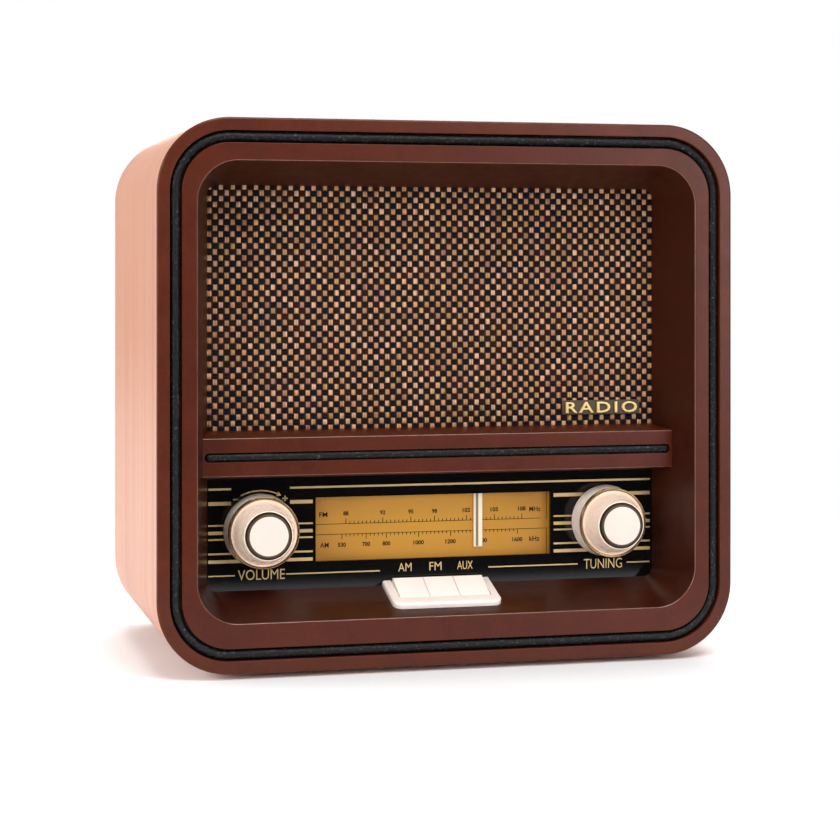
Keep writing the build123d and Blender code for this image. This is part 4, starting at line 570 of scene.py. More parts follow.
def build_frame():
    """Groove floor, flat strip, rounded mouth and the funnel walls, as one moulding."""
    groove_outer = RIM_WIDTH + 0.3 * MM
    stations = [inset(groove_outer, RIM_DEPTH), inset(groove_outer, GROOVE_DEPTH),
                inset(STRIP_OUTER, GROOVE_DEPTH)]
    stations += rounded_step(STRIP_OUTER, 0, EDGE_ROUND / 2)
    lip = 0.9 * MM
    wall_lean = atan2(RECESS_INSET_SIDE, RECESS_DEPTH)
    turn = pi / 2 - wall_lean
    reach = lip * tan(turn / 2)
    for step in range(6):
        angle = turn * step / 5
        grow = reach - lip * sin(angle)
        drop = lip * (1 - cos(angle))
        x, low, high, radius, _ = mouth(0, grow)
        stations.append((x, low, high, radius, drop))
    lip_rows = len(stations) - 1
    stations += [mouth(share) for share in (0.25, 0.5, 0.75, 1)]
    flange = 12 * MM
    x, low, high, radius, depth = mouth(1)
    stations.append((x + flange, low - flange, high + flange, radius + flange, depth))
    stations.append((x + flange, low - flange, high + flange, radius + flange, depth - MOULDING))
    x, low, high, radius, depth = mouth(0.9, MOULDING)
    stations.append((x, low, high, radius, depth))
    x, low, high, radius, _ = mouth(0.22, MOULDING)
    stations.append((x, low, high, radius, GROOVE_DEPTH + MOULDING))
    stations.append(inset(groove_outer + MOULDING, GROOVE_DEPTH + MOULDING))
    stations.append(inset(groove_outer + MOULDING, RIM_DEPTH))
    # Painted highlight on two middle rows of the mouth's lip; painted shade (the darker brown) on the funnel
    # walls below the lip.
    finish_of = {lip_rows - 3: 2, lip_rows - 2: 2}
    finish_of.update({row: 1 for row in range(lip_rows, lip_rows + 4)})
    picks = [finish_of.get(row, 0) for row in range(len(stations))]
    made = loft("recess_moulding", "front_frame", stations, [moulding, recess_painted_shade, edge_painted_highlight],
                corner_steps=20, row_finish=picks)
    cut_key_slot(made)
    return made


def on_floor(x, along, above):
    """A point from X, distance down the recess floor from the dial panel, and height over that floor."""
    y = FRAME_HIGH.y - along * cos(FLOOR_SLOPE) - above * sin(FLOOR_SLOPE)
    z = MOUTH_BOTTOM + RECESS_INSET_ENDS - along * sin(FLOOR_SLOPE) + above * cos(FLOOR_SLOPE)
    return (x, y, z)


def cut_key_slot(target):
    """The opening in the recess floor that the keys work through."""
    half = 25.8 * MM
    end = 21.9 * MM
    low, high = -8 * MM, 2.5 * MM
    points = [on_floor(x, along, above) for x in (-half, half) for along, above in
              ((0.4 * MM, low), (end, low), (end, high), (0.4 * MM, high))]
    faces = [(0, 1, 2, 3), (7, 6, 5, 4), (0, 4, 5, 1), (1, 5, 6, 2), (2, 6, 7, 3), (3, 7, 4, 0)]
    mesh = bpy.data.meshes.new("slot_cutter")
    mesh.from_pydata(points, [], faces)
    cutter = placed_in_scene("slot_cutter", mesh)
    modifier = target.modifiers.new("slot", "BOOLEAN")
    modifier.operation = "DIFFERENCE"
    modifier.object = cutter
    modifier.solver = "EXACT"
    result = baked(target)
    target.modifiers.clear()
    target.data = result
    bpy.data.objects.remove(cutter)


def build_bar():
    """The cross bar: sloping top and underside, flat front and a rounded groove for its piping."""
    bite = 1 * MM

    def across(depth, half_height, trim=0.0):
        share = depth / RECESS_DEPTH
        half = MOUTH_X - RECESS_INSET_SIDE * share + bite
        return (half, BAR_Z - half_height + trim, BAR_Z + half_height - trim, 0.25 * MM, depth)

    edge = 0.7 * MM
    stations = [across(RECESS_DEPTH - 0.05 * MM, BAR_BACK_HALF)]
    lean = (BAR_BACK_HALF - BAR_FRONT_HALF) / (RECESS_DEPTH - BAR_FRONT_DEPTH)
    stations.append(across(BAR_FRONT_DEPTH + edge, BAR_FRONT_HALF + lean * edge))
    for step in range(1, 5):
        angle = pi / 2 * step / 4
        depth = BAR_FRONT_DEPTH + edge * (1 - sin(angle))
        stations.append(across(depth, BAR_FRONT_HALF, edge * (1 - cos(angle))))
    groove = MOUTH_X - RECESS_INSET_SIDE * BAR_FRONT_DEPTH / RECESS_DEPTH - BAR_GROOVE_END
    lip = 0.3 * MM
    for grow, depth in ((lip, 0), (0.1 * MM, 0.1 * MM), (0, lip), (0, BAR_GROOVE_DEPTH)):
        half = BAR_GROOVE_HALF + grow
        low, high = BAR_Z - half, BAR_Z + half
        stations.append((groove + grow, low, high, half - ROUND_SLACK, BAR_FRONT_DEPTH + depth))
    # The rounding of the bar's front edge takes the painted highlight.
    picks = [1 if row in (2, 3) else 0 for row in range(len(stations))]
    loft("cross_bar", "front_frame", stations, [moulding, edge_painted_highlight], closed=False, caps=True,
         corner_steps=8, row_finish=picks, replaced=[])


# ================================================================ piping
PEBBLE = 1.1 * MM


def grained(made, size, amount, seed):
    """Push each point of a mesh along its normal by seeded noise, for a pebbled skin."""
    shift = Vector((seed * 3.7, seed * 1.3, seed * 2.1))
    mesh = made.data
    for vertex, normal in zip(mesh.vertices, [v.normal.copy() for v in mesh.vertices]):
        value = noise.noise(vertex.co / size + shift)
        vertex.co += normal * value * amount
    mesh.update()


def build_piping():
    gap = PIPING_LOW.x + HALF_WIDTH
    width = 5.4 * MM
    bottom = GROOVE_DEPTH
    height = GROOVE_DEPTH - (PIPING_LOW.y - FRONT)
    stations = []
    steps = 10
    for step in range(steps + 1):
        angle = pi * step / steps
        offset = width / 2 * (1 - cos(angle))
        rise = height * sin(angle) ** 0.7
        stations.append(inset(gap + offset, bottom - rise))
    made = loft("rim_piping_cord", "rim_piping", stations, [piping_black], closed=True, corner_steps=56,
                side_step=(200, 200))
    grained(made, PEBBLE, 0.3 * MM, 1)

    half = BAR_PIPING_HIGH.x
    radius = (BAR_PIPING_HIGH.z - BAR_PIPING_LOW.z) / 2
    near = BAR_PIPING_LOW.y - FRONT
    far = BAR_PIPING_HIGH.y - FRONT
    stations = []
    for step in range(7):
        angle = pi / 2 * step / 6
        shrink = radius * (1 - cos(angle)) * 0.93
        depth = far - (far - near) * sin(angle) ** 0.8
        reach = radius - shrink
        stations.append((half - shrink, BAR_Z - reach, BAR_Z + reach, reach - ROUND_SLACK, depth))
    made = loft("bar_piping_cord", "bar_piping", stations, [piping_black], closed=False, caps=True,
                corner_steps=6, side_step=(1, 260))
    grained(made, PEBBLE, 0.22 * MM, 2)


# ================================================================ grille cloth
THREAD_COLORS = [(0.66, 0.34, 0.19), (0.6, 0.31, 0.16), (0.64, 0.38, 0.24), (0.54, 0.29, 0.14),
                 (0.6, 0.34, 0.17), (0.46, 0.23, 0.15), (0.7, 0.42, 0.28), (0.5, 0.28, 0.13)]
DARK_COLORS = [(0.012, 0.0045, 0.003), (0.026, 0.007, 0.003), (0.008, 0.005, 0.007), (0.018, 0.006, 0.003)]
WOBBLE = 0.12
LIGHT_PITCH = 0.74 * MM
LIGHT_HALF = 0.4 * MM
LIGHT_REACH = 1.62 * MM
DARK_PITCH = 0.68 * MM
DARK_HALF = 0.62 * MM
DARK_REACH = 1.75 * MM
CELL = 3.2 * MM
LIGHT_RISE = 0.74 * MM
DARK_RISE = 0.5 * MM


def arch(centre_x, centre_z, across, along, lengthwise, rise, stations=5, sides=4):
    """Points of one thread's float over the weave: a half-round strip that dips at both ends."""
    back = CLOTH_HIGH.y - 0.03 * MM
    rows = []
    for row in range(stations):
        share = row / (stations - 1) * 2 - 1
        lift = rise * (1 - share ** 4)
        narrow = across * (1 - 0.22 * share ** 2)
        for side in range(sides):
            turn = pi * side / (sides - 1)
            over = narrow * cos(turn)
            up = lift * (0.25 + 0.75 * sin(turn))
            if lengthwise:
                rows.append((centre_x + over, back - up, centre_z + along * share))
            else:
                rows.append((centre_x + along * share, back - up, centre_z - over))
    return rows


def arch_faces(start, stations=5, sides=4):
    """The strip's skin, closed underneath and at both ends."""
    faces = []
    for row in range(stations - 1):
        for side in range(sides):
            a = start + row * sides + side
            b = start + row * sides + (side + 1) % sides
            faces.append((a, b, b + sides, a + sides))
    last = start + (stations - 1) * sides
    faces.append(tuple(reversed(range(start, start + sides))))
    faces.append(tuple(range(last, last + sides)))
    return faces


def build_cloth():
    points, faces, colors = [], [], []
    draw = random.Random(7)
    columns = int((CLOTH_HIGH.x - CLOTH_LOW.x) / CELL)
    rows = int((CLOTH_HIGH.z - CLOTH_LOW.z) / CELL)
    left = (CLOTH_LOW.x + CLOTH_HIGH.x - columns * CELL) / 2
    bottom = (CLOTH_LOW.z + CLOTH_HIGH.z - rows * CELL) / 2

    def add(strip, color):
        start = len(points)
        points.extend(strip)
        faces.extend(arch_faces(start))
        colors.extend([(*color, 1.0)] * len(strip))

    for column in range(columns):
        warp = draw.choice(THREAD_COLORS)
        for row in range(rows):
            x = left + (column + 0.5) * CELL + draw.uniform(-WOBBLE, WOBBLE) * MM
            z = bottom + (row + 0.5) * CELL + draw.uniform(-WOBBLE, WOBBLE) * MM
            if (column + row) % 2:
                base = warp if draw.random() < 0.35 else draw.choice(THREAD_COLORS)
                for strand in (-1, 0, 1):
                    shade = draw.uniform(0.7, 1.2)
                    tint = [part * shade * draw.uniform(0.9, 1.1) for part in base]
                    reach = LIGHT_REACH * draw.uniform(0.92, 1.05)
                    rise = LIGHT_RISE * draw.uniform(0.88, 1.0)
                    strip = arch(x + strand * LIGHT_PITCH, z, LIGHT_HALF, reach, True, rise)
                    add(strip, tint)
            else:
                base = draw.choice(DARK_COLORS)
                for strand in (-1, 1):
                    rise = DARK_RISE * draw.uniform(0.9, 1.05)
                    strip = arch(x, z + strand * DARK_PITCH, DARK_HALF, DARK_REACH, False, rise)
                    add(strip, base)
    mesh = bpy.data.meshes.new("grille_yarns")
    mesh.from_pydata(points, [], faces)
    thread = mesh.attributes.new("thread", "FLOAT_COLOR", "POINT")
    thread.data.foreach_set("color", np.array(colors, np.float32).ravel())
    yarns = finished("grille_yarns", "grille_cloth", mesh, [yarn], False, [])

    width = CLOTH_HIGH.x - CLOTH_LOW.x
    length = CLOTH_HIGH.z - CLOTH_LOW.z
    across, up = 44, 24
    back = CLOTH_HIGH.y
    front = back - 0.12 * MM
    grid = [(CLOTH_LOW.x + width * i / across, y, CLOTH_LOW.z + length * j / up)
            for y in (front, back) for j in range(up + 1) for i in range(across + 1)]
    size = (across + 1) * (up + 1)
    skin = []
    for j in range(up):
        for i in range(across):
            a = j * (across + 1) + i
            b, c, d = a + 1, a + across + 2, a + across + 1
            skin += [(a, b, c, d), (size + d, size + c, size + b, size + a)]
    edge = list(range(across + 1))
    edge += [(j + 1) * (across + 1) + across for j in range(up)]
    edge += [up * (across + 1) + i for i in reversed(range(across))]
    edge += [j * (across + 1) for j in reversed(range(1, up))]
    skin += [(edge[k], size + edge[k], size + edge[(k + 1) % len(edge)], edge[(k + 1) % len(edge)])
             for k in range(len(edge))]
    ground = piece("grille_cloth_ground", "grille_cloth", grid, skin, [cloth_back])


# ================================================================ printed and raised lettering
def box_mesh(x0, x1, z0, z1, y0, y1):
    """Corner points and outward faces of one thin box."""
    points = [(x, y, z) for x in (x0, x1) for y in (y0, y1) for z in (z0, z1)]
    faces = [(0, 1, 3, 2), (4, 6, 7, 5), (0, 4, 5, 1), (2, 3, 7, 6), (0, 2, 6, 4), (1, 5, 7, 3)]
    return points, faces


def letter_mesh(text, x0, x1, z0, z1, front, thickness, spacing=1.0, bevel=0.0, bold=0.0):
    """Plain capitals and figures as solid letters that fill a box in X and Z."""
    curve = bpy.data.curves.new("lettering", "FONT")
    curve.body = text
    curve.space_character = spacing
    curve.extrude = 0.1
    curve.bevel_depth = bevel
    curve.offset = bold
    curve.resolution_u = 3
    holder = placed_in_scene("lettering", curve)
    bpy.context.view_layer.update()
    mesh = baked(holder)
    points = np.array([vertex.co for vertex in mesh.vertices])
    faces = [tuple(face.vertices) for face in mesh.polygons]
    bpy.data.objects.remove(holder)
    bpy.data.curves.remove(curve)
    low, high = points.min(0), points.max(0)
    share = (points - low) / (high - low)
    placed = np.stack([x0 + share[:, 0] * (x1 - x0), front + (1 - share[:, 2]) * thickness,
                       z0 + share[:, 1] * (z1 - z0)], 1)
    return [tuple(point) for point in placed], faces


class Printing:
    """Thin raised marks on one plane, gathered into a single piece."""

    def __init__(self, surface_y, lift=PRINT_LIFT):
        self.front = surface_y - lift
        self.back = surface_y + lift / 2
        self.points = []
        self.faces = []

    def add(self, made):
        start = len(self.points)
        self.points += made[0]
        self.faces += [tuple(start + index for index in face) for face in made[1]]

    def bar(self, x0, x1, z0, z1):
        """A filled bar; X and Z are in millimetres, Z from the middle of the front."""
        self.add(box_mesh(x0 * MM, x1 * MM, MID_Z + z0 * MM, MID_Z + z1 * MM, self.front, self.back))

    def text(self, text, x0, x1, z0, z1, bold=0.0):
        self.add(letter_mesh(text, x0 * MM, x1 * MM, MID_Z + z0 * MM, MID_Z + z1 * MM, self.front,
                             self.back - self.front, bold=bold))

    def figures(self, text, x, z0, z1, aspect=0.62):
        """Figures centred on X, as wide as their count asks."""
        half = (z1 - z0) * aspect * len(text) / 2
        self.text(text, x - half, x + half, z0, z1, bold=0.03)

    def polygon(self, corners):
        """A flat filled polygon through (x, z) corners, given anticlockwise."""
        count = len(corners)
        points = [(x * MM, y, MID_Z + z * MM) for y in (self.front, self.back) for x, z in corners]
        faces = [tuple(range(count)), tuple(reversed(range(count, 2 * count)))]
        faces += [(i, count + i, count + (i + 1) % count, (i + 1) % count) for i in range(count)]
        self.add((points, faces))

    def build(self, name, node, finish):
        return piece(name, node, self.points, self.faces, [finish], replaced=[])


# Tops and bottoms of the stripes, in millimetres from the middle of the front.
STRIPES = [(-52.2, -53.3), (-59.5, -61.5), (-71.9, -72.8), (-75.5, -77.3), (-79.5, -80.4), (-87.2, -88.2),
           (-91.0, -92.8)]
LINE_LOW, LINE_HIGH = -100.0, -99.3


def print_panel():
    """Gilt stripes, knob names and key names on the black dial panel."""
    ink = Printing(PANEL_LOW.y)
    for index, (high, low) in enumerate(STRIPES):
        if index < 2:
            ink.bar(-127, -114.5, low, high)
            ink.bar(-82.0, 126.4 if index == 0 else -69.4, low, high)
        else:
            ink.bar(-127, -69.4, low, high)
        if index:
            ink.bar(68.9, 126.4, low, high)
    ink.bar(-127, -112.5, LINE_LOW, LINE_HIGH)
    ink.text("VOLUME", -110.8, -84.9, -102.3, -96.7)
    ink.bar(-84.2, -31.6, LINE_LOW, LINE_HIGH)
    ink.bar(30.7, 83.1, LINE_LOW, LINE_HIGH)
    ink.text("TUNING", 86.8, 109.6, -102.6, -97.0)
    ink.bar(112.4, 126.2, LINE_LOW, LINE_HIGH)
    ink.text("AM", -21.2, -13.6, -100.4, -95.8)
    ink.text("FM", -3.4, 3.6, -100.4, -95.8)
    ink.text("AUX", 12.6, 21.6, -100.4, -95.8)
    volume_arrow(ink)
    ink.build("panel_print", "dial_panel", gilt_print)


def volume_arrow(ink):
    """The curved louder arrow over the volume knob, with its minus and plus."""
    centre = (-98.4, -77.8)
    radius = 23.9
    thick = 0.35
    head = 1.3
    start, end = 117, 66
    steps = 14

    def spot(outwards, turn):
        reach = radius + outwards
        return (centre[0] + reach * cos(turn), centre[1] + reach * sin(turn))

    for step in range(steps):
        a = radians(start + (end - start) * step / steps)
        b = radians(start + (end - start) * (step + 1) / steps)
        ink.polygon([spot(thick, a), spot(-thick, a), spot(-thick, b), spot(thick, b)])
    root = radians(end + 1)
    ink.polygon([spot(head, root), spot(-head, root), spot(0, radians(end - 5))])
    ink.bar(-113.4, -110.4, -58.8, -58.1)
    ink.bar(-86.3, -83.3, -58.8, -58.1)
    ink.bar(-85.15, -84.45, -59.95, -56.95)


FM_MARKS = [("88", -49.6), ("92", -28.7), ("95", -12.6), ("98", 1.0), ("102", 19.5), ("105", 35.75),
            ("108", 51.9)]
AM_MARKS = [("530", -51.8), ("700", -38.1), ("800", -26.6), ("1000", -8.1), ("1200", 10.3), ("1400", 28.5),
            ("1600", 49.3)]
TICK_PITCH = 2.3


def scale_ticks(ink, marks, base, way):
    """Long ticks at the marks and short ones evenly between them."""
    half = 0.2
    for (_, here), (_, after) in zip(marks, marks[1:]):
        count = max(1, round((after - here) / TICK_PITCH))
        for step in range(1, count):
            x = here + (after - here) * step / count
            low, high = sorted((base, base + way * 1.35))
            ink.bar(x - half, x + half, low, high)
    for _, x in marks:
        low, high = sorted((base, base + way * 2.8))
        ink.bar(x - half, x + half, low, high)


def print_scale():
    """Two frequency scales in dark ink on the amber plate."""
    ink = Printing(SCALE_LOW.y)
    ink.bar(-70, 62.9, -74.0, -73.7)
    ink.bar(-70, 66.6, -79.7, -79.4)
    ink.bar(66.3, 66.6, -94, -79.4)
    ink.bar(66.3, 66.6, -74.5, -57)
    scale_ticks(ink, FM_MARKS, -73.8, 1)
    scale_ticks(ink, AM_MARKS, -79.55, -1)
    for text, x in FM_MARKS:
        ink.figures(text, x, -69.4, -67.0)
    for text, x in AM_MARKS:
        ink.figures(text, x, -86.6, -84.2)
    ink.text("FM", -64.6, -60.0, -69.9, -67.2, bold=0.015)
    ink.text("MHz", 56.3, 62.9, -69.9, -67.2, bold=0.015)
    ink.text("AM", -64.1, -59.3, -86.7, -84.0, bold=0.015)
    ink.text("kHz", 56.3, 62.3, -86.7, -83.8, bold=0.015)
    ink.build("scale_print", "dial_scale", scale_ink)


def build_badge():
    """A small plain badge: gilt block letters standing on a backing plate whose dark colour is painted
    shadow round them.
    """
    plate_back = BADGE_HIGH.y
    plate_front = plate_back - 0.7 * MM
    rows = []
    radius = 1.2 * MM
    middle = (BADGE_LOW.x + BADGE_HIGH.x) / 2
    half = (BADGE_HIGH.x - BADGE_LOW.x) / 2
    for shrink, y in ((0, plate_back), (0, plate_front + 0.2 * MM), (0.2 * MM, plate_front)):
        ring = outline(half - shrink, BADGE_LOW.z + shrink, BADGE_HIGH.z - shrink, radius, 0, 6)
        rows.append([(x + middle, y, z) for x, _, z in ring])
    faces = ring_rows(rows, False)
    count = len(rows[0])
    faces += [tuple(range(count)), tuple(reversed(range(2 * count, 3 * count)))]
    # The backing plate is real; its dark colour is painted shadow round the raised letters.
    piece("badge_plate_painted_shadow", "grille_badge", points_of(rows), faces, [dark_lines_and_badge_shadow], replaced=[])
    margin = 0.9 * MM
    left, right = BADGE_LOW.x + 2 * margin, BADGE_HIGH.x - 2 * margin
    bottom, top = BADGE_LOW.z + margin, BADGE_HIGH.z - margin
    thickness = plate_front - BADGE_LOW.y + 0.1 * MM
    points, faces = letter_mesh("RADIO", left, right, bottom, top, BADGE_LOW.y, thickness, spacing=1.25,
                                bevel=0.012)
    piece("badge_letters", "grille_badge", points, faces, [badge_gilt])


# ================================================================ knobs
def lathe(name, node, centre, profile, finishes, picks=None, segments=144, ribs=None):
    """A body turned about the depth axis from (depth, radius) points; ribs are (rows, count, height)."""
    rows = []
    for index, (depth, radius) in enumerate(profile):
        row = []
        for step in range(segments):
            turn = 2 * pi * step / segments
            reach = radius
            if ribs and index in ribs[0]:
                reach += ribs[2] * cos(ribs[1] * turn)
            row.append((centre[0] + reach * cos(turn), at_depth(depth), centre[1] + reach * sin(turn)))
        rows.append(row)
    faces = ring_rows(rows, True)
    chosen = [picks[index // segments] for index in range(len(faces))] if picks else [0] * len(faces)
    return piece(name, node, points_of(rows), faces, finishes, picks=chosen)


def arc(depth, radius, size, start, end, steps=5):
    """(depth, radius) points of a quarter-like turn; angle 0 looks outwards and 90 forwards."""
    turns = [radians(start + (end - start) * step / steps) for step in range(steps + 1)]
    return [(depth - size * sin(turn), radius + size * cos(turn)) for turn in turns]


def build_knob(name):
    low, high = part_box(name + "_knob_body")
    centre = ((low.x + high.x) / 2, (low.z + high.z) / 2)
    back = high.y - FRONT
    top = low.y - FRONT
    ring_low, ring_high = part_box(name + "_knob_ring")
    ring_front = ring_low.y - FRONT
    ring_back = ring_high.y - FRONT
    ring_radius = (ring_high.x - ring_low.x) / 2
    cap_low, cap_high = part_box(name + "_knob_cap")
    cap_front = cap_low.y - FRONT
    cap_back = cap_high.y - FRONT
    cap_radius = (cap_high.x - cap_low.x) / 2
    skirt_back = (high.x - low.x) / 2
    skirt_front = skirt_back - 0.9 * MM
    ring_seat = ring_radius - 1.5 * MM
    cone_base = 16.8 * MM
    cone_top = 13.4 * MM
    bore = 3.05 * MM
    lip = 0.5 * MM
    skirt = [(back, bore), (back, skirt_back - 0.6 * MM), (back - 0.25 * MM, skirt_back - 0.2 * MM),
             (back - 0.8 * MM, skirt_back)]
    ribbed = range(len(skirt), len(skirt) + 7)
    for step in range(7):
        share = step / 6
        skirt.append((back - 1.6 * MM + (ring_back - back + 2.2 * MM) * share,
                      skirt_back - 0.05 * MM + (skirt_front - skirt_back) * share))
    skirt += [(ring_back, skirt_front), (ring_back, ring_seat), (ring_front, ring_seat)]
    skirt_rows = len(skirt)
    cone = [(ring_front + 0.5 * MM, ring_seat - 0.2 * MM), (ring_front + 0.6 * MM, cone_base + 0.5 * MM),
            (ring_front - 0.2 * MM, cone_base + 0.05 * MM), (ring_front - 1.2 * MM, cone_base - 0.2 * MM)]
    cone += [(ring_front + (top - ring_front) * share, cone_base + (cone_top - cone_base) * share)
             for share in (0.25, 0.5, 0.75)]
    cone += arc(top + lip, cone_top - lip, lip, 0, 90)
    line_rows = len(skirt) + len(cone)
    seat = [(top, cap_radius + 0.75 * MM), (top + 0.25 * MM, cap_radius + 0.6 * MM),
            (cap_back, cap_radius + 0.55 * MM), (cap_back, bore)]
    picks = [0] * skirt_rows + [1] * (line_rows - skirt_rows) + [2] * len(seat)
    picks[-1] = 0
    lathe(name + "_knob_turned", name + "_knob_body", centre, skirt + cone + seat,
          [skirt_metal, cone_metal, dark_lines_and_badge_shadow], picks=picks, segments=288, ribs=(ribbed, 96, 0.07 * MM))

    ring = [(ring_back, ring_seat + 0.05 * MM), (ring_back, ring_radius - 0.1 * MM),
            (ring_back - 0.15 * MM, ring_radius)]
    ring += arc(ring_front + lip, ring_radius - lip, lip, 0, 90)
    ring += [(ring_front, ring_seat + 0.35 * MM), (ring_front + 0.2 * MM, ring_seat + 0.05 * MM)]
    lathe(name + "_knob_gilt_ring", name + "_knob_ring", centre, ring, [dark_gilt], segments=192)

    dome = 0.45 * MM
    cap = [(cap_back, 0), (cap_back, cap_radius), (cap_front + 1.5 * MM, cap_radius - 0.25 * MM)]
    cap += arc(cap_front + 1.1 * MM, cap_radius - 0.9 * MM, 0.65 * MM, 0, 75)
    rim_depth, rim_radius = cap[-1]
    shares = (0.97, 0.93, 0.85, 0.65, 0.4, 0.15, 0)
    cap += [(rim_depth - dome * (1 - share ** 2), rim_radius * share) for share in shares]
    band = sum(1 for _, radius in cap if radius > rim_radius * 0.95)
    lathe(name + "_knob_cream_cap", name + "_knob_cap", centre, cap, [cap_cream, dark_lines_and_badge_shadow],
          picks=[1] * (band + 1) + [0] * (len(cap) - band - 1), segments=144)


# ================================================================ keys, pointer and small softened parts
def softened(node, name, width, finish, segments=3, tidy=1.0, sharp=28):
    """A CAD node's shape with its hard edges rounded over."""
    mesh = NODES[node].data.copy()
    mesh.name = name
    mesh.materials.clear()
    work = bmesh.new()
    work.from_mesh(mesh)
    bmesh.ops.remove_doubles(work, verts=work.verts, dist=0.003 * MM)
    bmesh.ops.dissolve_limit(work, angle_limit=radians(tidy), verts=work.verts, edges=work.edges)
    hard = [edge for edge in work.edges
            if len(edge.link_faces) == 2 and edge.calc_face_angle(0) > radians(sharp)]
    bmesh.ops.bevel(work, geom=hard, offset=width, segments=segments, profile=0.5, affect="EDGES",
                    clamp_overlap=True)
    work.to_mesh(mesh)
    work.free()
    return finished(name, node, mesh, [finish], False, [node])


def build_keys():
    softened("key_tray", "key_tray_soft", 0.3 * MM, cream)
    for side in ("left", "middle", "right"):
        softened(side + "_key", side + "_key_soft", 0.32 * MM, cream)


# The pointer is drawn with a painted reflection: a dark strip on its face leaves a thin bright sliver to the
# left, as its reflection in the scale would look. These sizes place that strip.
POINTER_AND_REFLECTION_HALF = 2.5 * MM
POINTER_LINE_INSET = 1.2 * MM
POINTER_LINE = 1.4 * MM


def build_pointer():
    softened("dial_pointer", "pointer_blade", 0.12 * MM, pointer_cream, segments=2)
    low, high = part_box("dial_pointer")
    glass_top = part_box("dial_window")[1].z
    left = (low.x + high.x) / 2 - POINTER_AND_REFLECTION_HALF + POINTER_LINE_INSET
    points, faces = box_mesh(left, left + POINTER_LINE, low.z + 0.3 * MM, glass_top, low.y - 0.03 * MM,
                             low.y + 0.2 * MM)
    piece("pointer_reflection_gap_strip", "dial_pointer", points, faces, [pointer_painted_reflection_gap], replaced=[])


def build_fittings():
    """Back-panel fittings and feet with eased edges."""
    softened("power_rocker", "power_rocker_soft", 0.35 * MM, FINISHES["black_plastic"])
    softened("mains_inlet", "mains_inlet_soft", 0.3 * MM, FINISHES["black_plastic"])
    softened("rocker_housing", "rocker_housing_soft", 0.3 * MM, FINISHES["black_plastic"])
    softened("usb_socket", "usb_socket_soft", 0.15 * MM, FINISHES[SLOT_OF["usb_socket"]])
    softened("feet", "rubber_feet", 0.5 * MM, FINISHES["black_rubber"])


# ================================================================ studio
def add_light(name, size, place, power):
    data = bpy.data.lights.new(name, "AREA")
    data.shape = "RECTANGLE"
    data.size, data.size_y = size
    data.energy = power
    light = placed_in_scene(name, data)
    light.location = place
    light.rotation_euler = (Vector((0, 0, MID_Z)) - Vector(place)).to_track_quat("-Z", "Y").to_euler()
    light.visible_camera = False
    return light


def end_table_in_reflections(recipe):
    """Gloss sees the floor as a pale table that ends in front of the radio, with a dark room beyond it;
    away from the radio the floor itself runs into the white of the backdrop."""
    rays = recipe.node("LightPath").outputs
    depth = recipe.node("SeparateXYZ", [("Vector", recipe.place())]).outputs["Y"]
    beyond = recipe.between(depth, TABLE_EDGE_Y, TABLE_EDGE_Y - TABLE_EDGE_FADE, 0.0, 1.0)
    dark = recipe.node("BsdfDiffuse", [("Color", (0.01, 0.01, 0.01, 1))])
    table = recipe.node("MixShader", [(0, recipe.math("MULTIPLY", beyond, rays["Is Glossy Ray"])),
                                                (1, recipe.shader.outputs[0]), (2, dark.outputs[0])])
    away = recipe.node("VectorMath", [(0, recipe.place())], operation="LENGTH").outputs["Value"]
    fade = recipe.between(away, SWEEP_NEAR, SWEEP_FAR, 0.0, 1.0)
    white = recipe.node("Emission", [("Color", (1, 1, 1, 1)), ("Strength", 1.0)])
    swept = recipe.node("MixShader", [(0, recipe.math("MULTIPLY", fade, rays["Is Camera Ray"])),
                                                (1, table.outputs[0]), (2, white.outputs[0])])
    recipe.tree.links.new(swept.outputs[0], recipe.tree.nodes["Material Output"].inputs["Surface"])


TABLE_EDGE_Y = -0.33
TABLE_EDGE_FADE = 0.03
SWEEP_NEAR = 0.25
SWEEP_FAR = 0.7
WORLD_FRONT = (0.015, 0.015, 0.017)
WORLD_BACK = (0.62, 0.63, 0.65)
FLOOR_REACH = 60.0


# Name, size, place and power of each light; all look at the middle of the radio.
SOFTBOXES = [
    ("left_softbox", (1.2, 1.6), (-2.2, 0.35, 0.8), 31),
    ("front_high_softbox", (1.4, 1.0), (0.2, -1.5, 2.1), 42),
    ("left_front_softbox", (0.6, 0.8), (-1.5, -1.3, 0.75), 16),
    ("top_softbox", (1.6, 1.2), (0.2, 0.4, 2.3), 24),
    ("right_front_softbox", (0.9, 1.4), (1.2, -1.9, 0.5), 20),
    ("back_softbox", (1.6, 1.2), (0.6, 2.4, 1.4), 35),
]


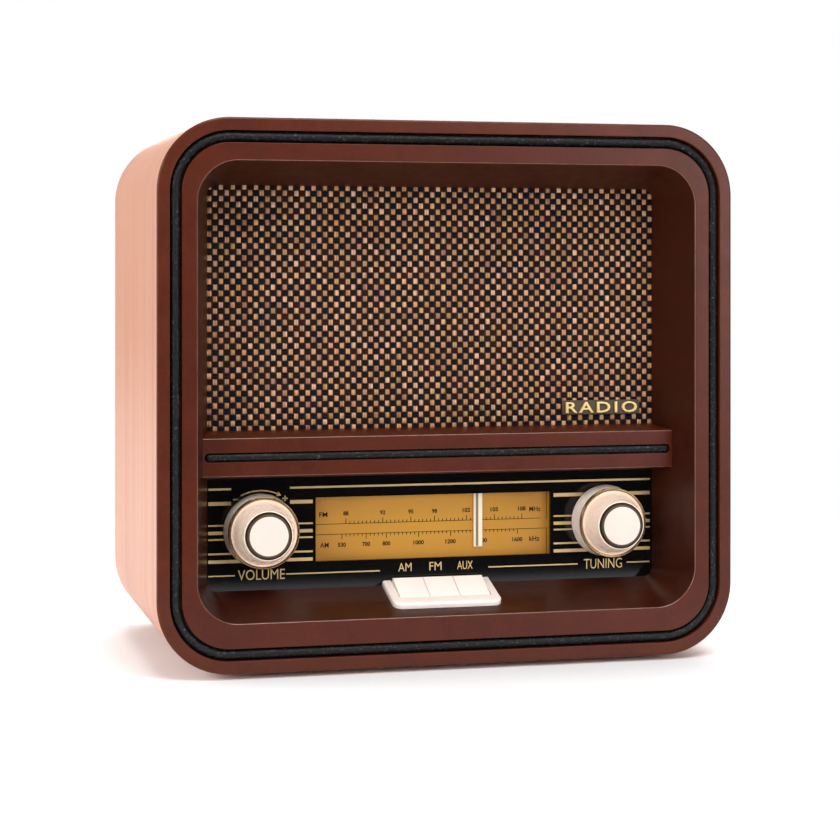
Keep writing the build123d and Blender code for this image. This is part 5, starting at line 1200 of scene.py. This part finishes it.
def build_studio():
    floor_recipe = Recipe("studio_floor", (0.92, 0.92, 0.92), 0.7, Specular_IOR_Level=0.1)
    mottle = floor_recipe.noise(3)
    floor_recipe.grain_color(mottle, (0.3, (0.9, 0.9, 0.9)), (0.7, (0.94, 0.94, 0.94)))
    end_table_in_reflections(floor_recipe)
    mesh = bpy.data.meshes.new("floor")
    corners = [(x * FLOOR_REACH, y * FLOOR_REACH, 0) for x, y in ((-1, -1), (1, -1), (1, 1), (-1, 1))]
    mesh.from_pydata(corners, [], [(0, 1, 2, 3)])
    mesh.materials.append(floor_recipe.material)
    floor = placed_in_scene("floor", mesh)

    world = bpy.data.worlds.new("studio")
    bpy.context.scene.world = world
    world.use_nodes = True
    tree = world.node_tree
    seen = wired(tree, "Background", [("Color", (1, 1, 1, 1)), ("Strength", 1.0)])
    direction = wired(tree, "TexCoord").outputs["Generated"]
    backwards = wired(tree, "SeparateXYZ", [(0, direction)]).outputs["Y"]
    turn = wired(tree, "MapRange", [("Value", backwards), ("From Min", -1), ("To Min", 0)]).outputs[0]
    shade = ramp_through(tree, turn, (0.35, WORLD_FRONT), (0.62, WORLD_BACK))
    around_it = tree.nodes["Background"]
    around_it.inputs["Strength"].default_value = 1.0
    tree.links.new(shade, around_it.inputs["Color"])
    camera_ray = wired(tree, "LightPath").outputs["Is Camera Ray"]
    choose = wired(tree, "MixShader", [(0, camera_ray), (1, around_it.outputs[0]), (2, seen.outputs[0])])
    tree.links.new(choose.outputs[0], tree.nodes["World Output"].inputs["Surface"])

    for softbox in SOFTBOXES:
        add_light(*softbox)


def build_camera():
    data = bpy.data.cameras.new("camera")
    data.lens = 88.424
    data.sensor_width = 36
    data.shift_x = 0.05392
    data.shift_y = -0.17198
    camera = placed_in_scene("camera", data)
    camera.location = (-0.30254, -1.16041, 0.21184)
    camera.rotation_euler = (radians(90), 0, radians(-13.657))
    bpy.context.scene.camera = camera
    bpy.context.scene.view_settings.view_transform = "Standard"


dress_cad_nodes()
build_cabinet()
build_rim()
build_frame()
build_bar()
build_piping()
build_cloth()
print_panel()
print_scale()
build_badge()
build_knob("volume")
build_knob("tuning")
build_keys()
build_pointer()
build_fittings()
build_studio()
build_camera()
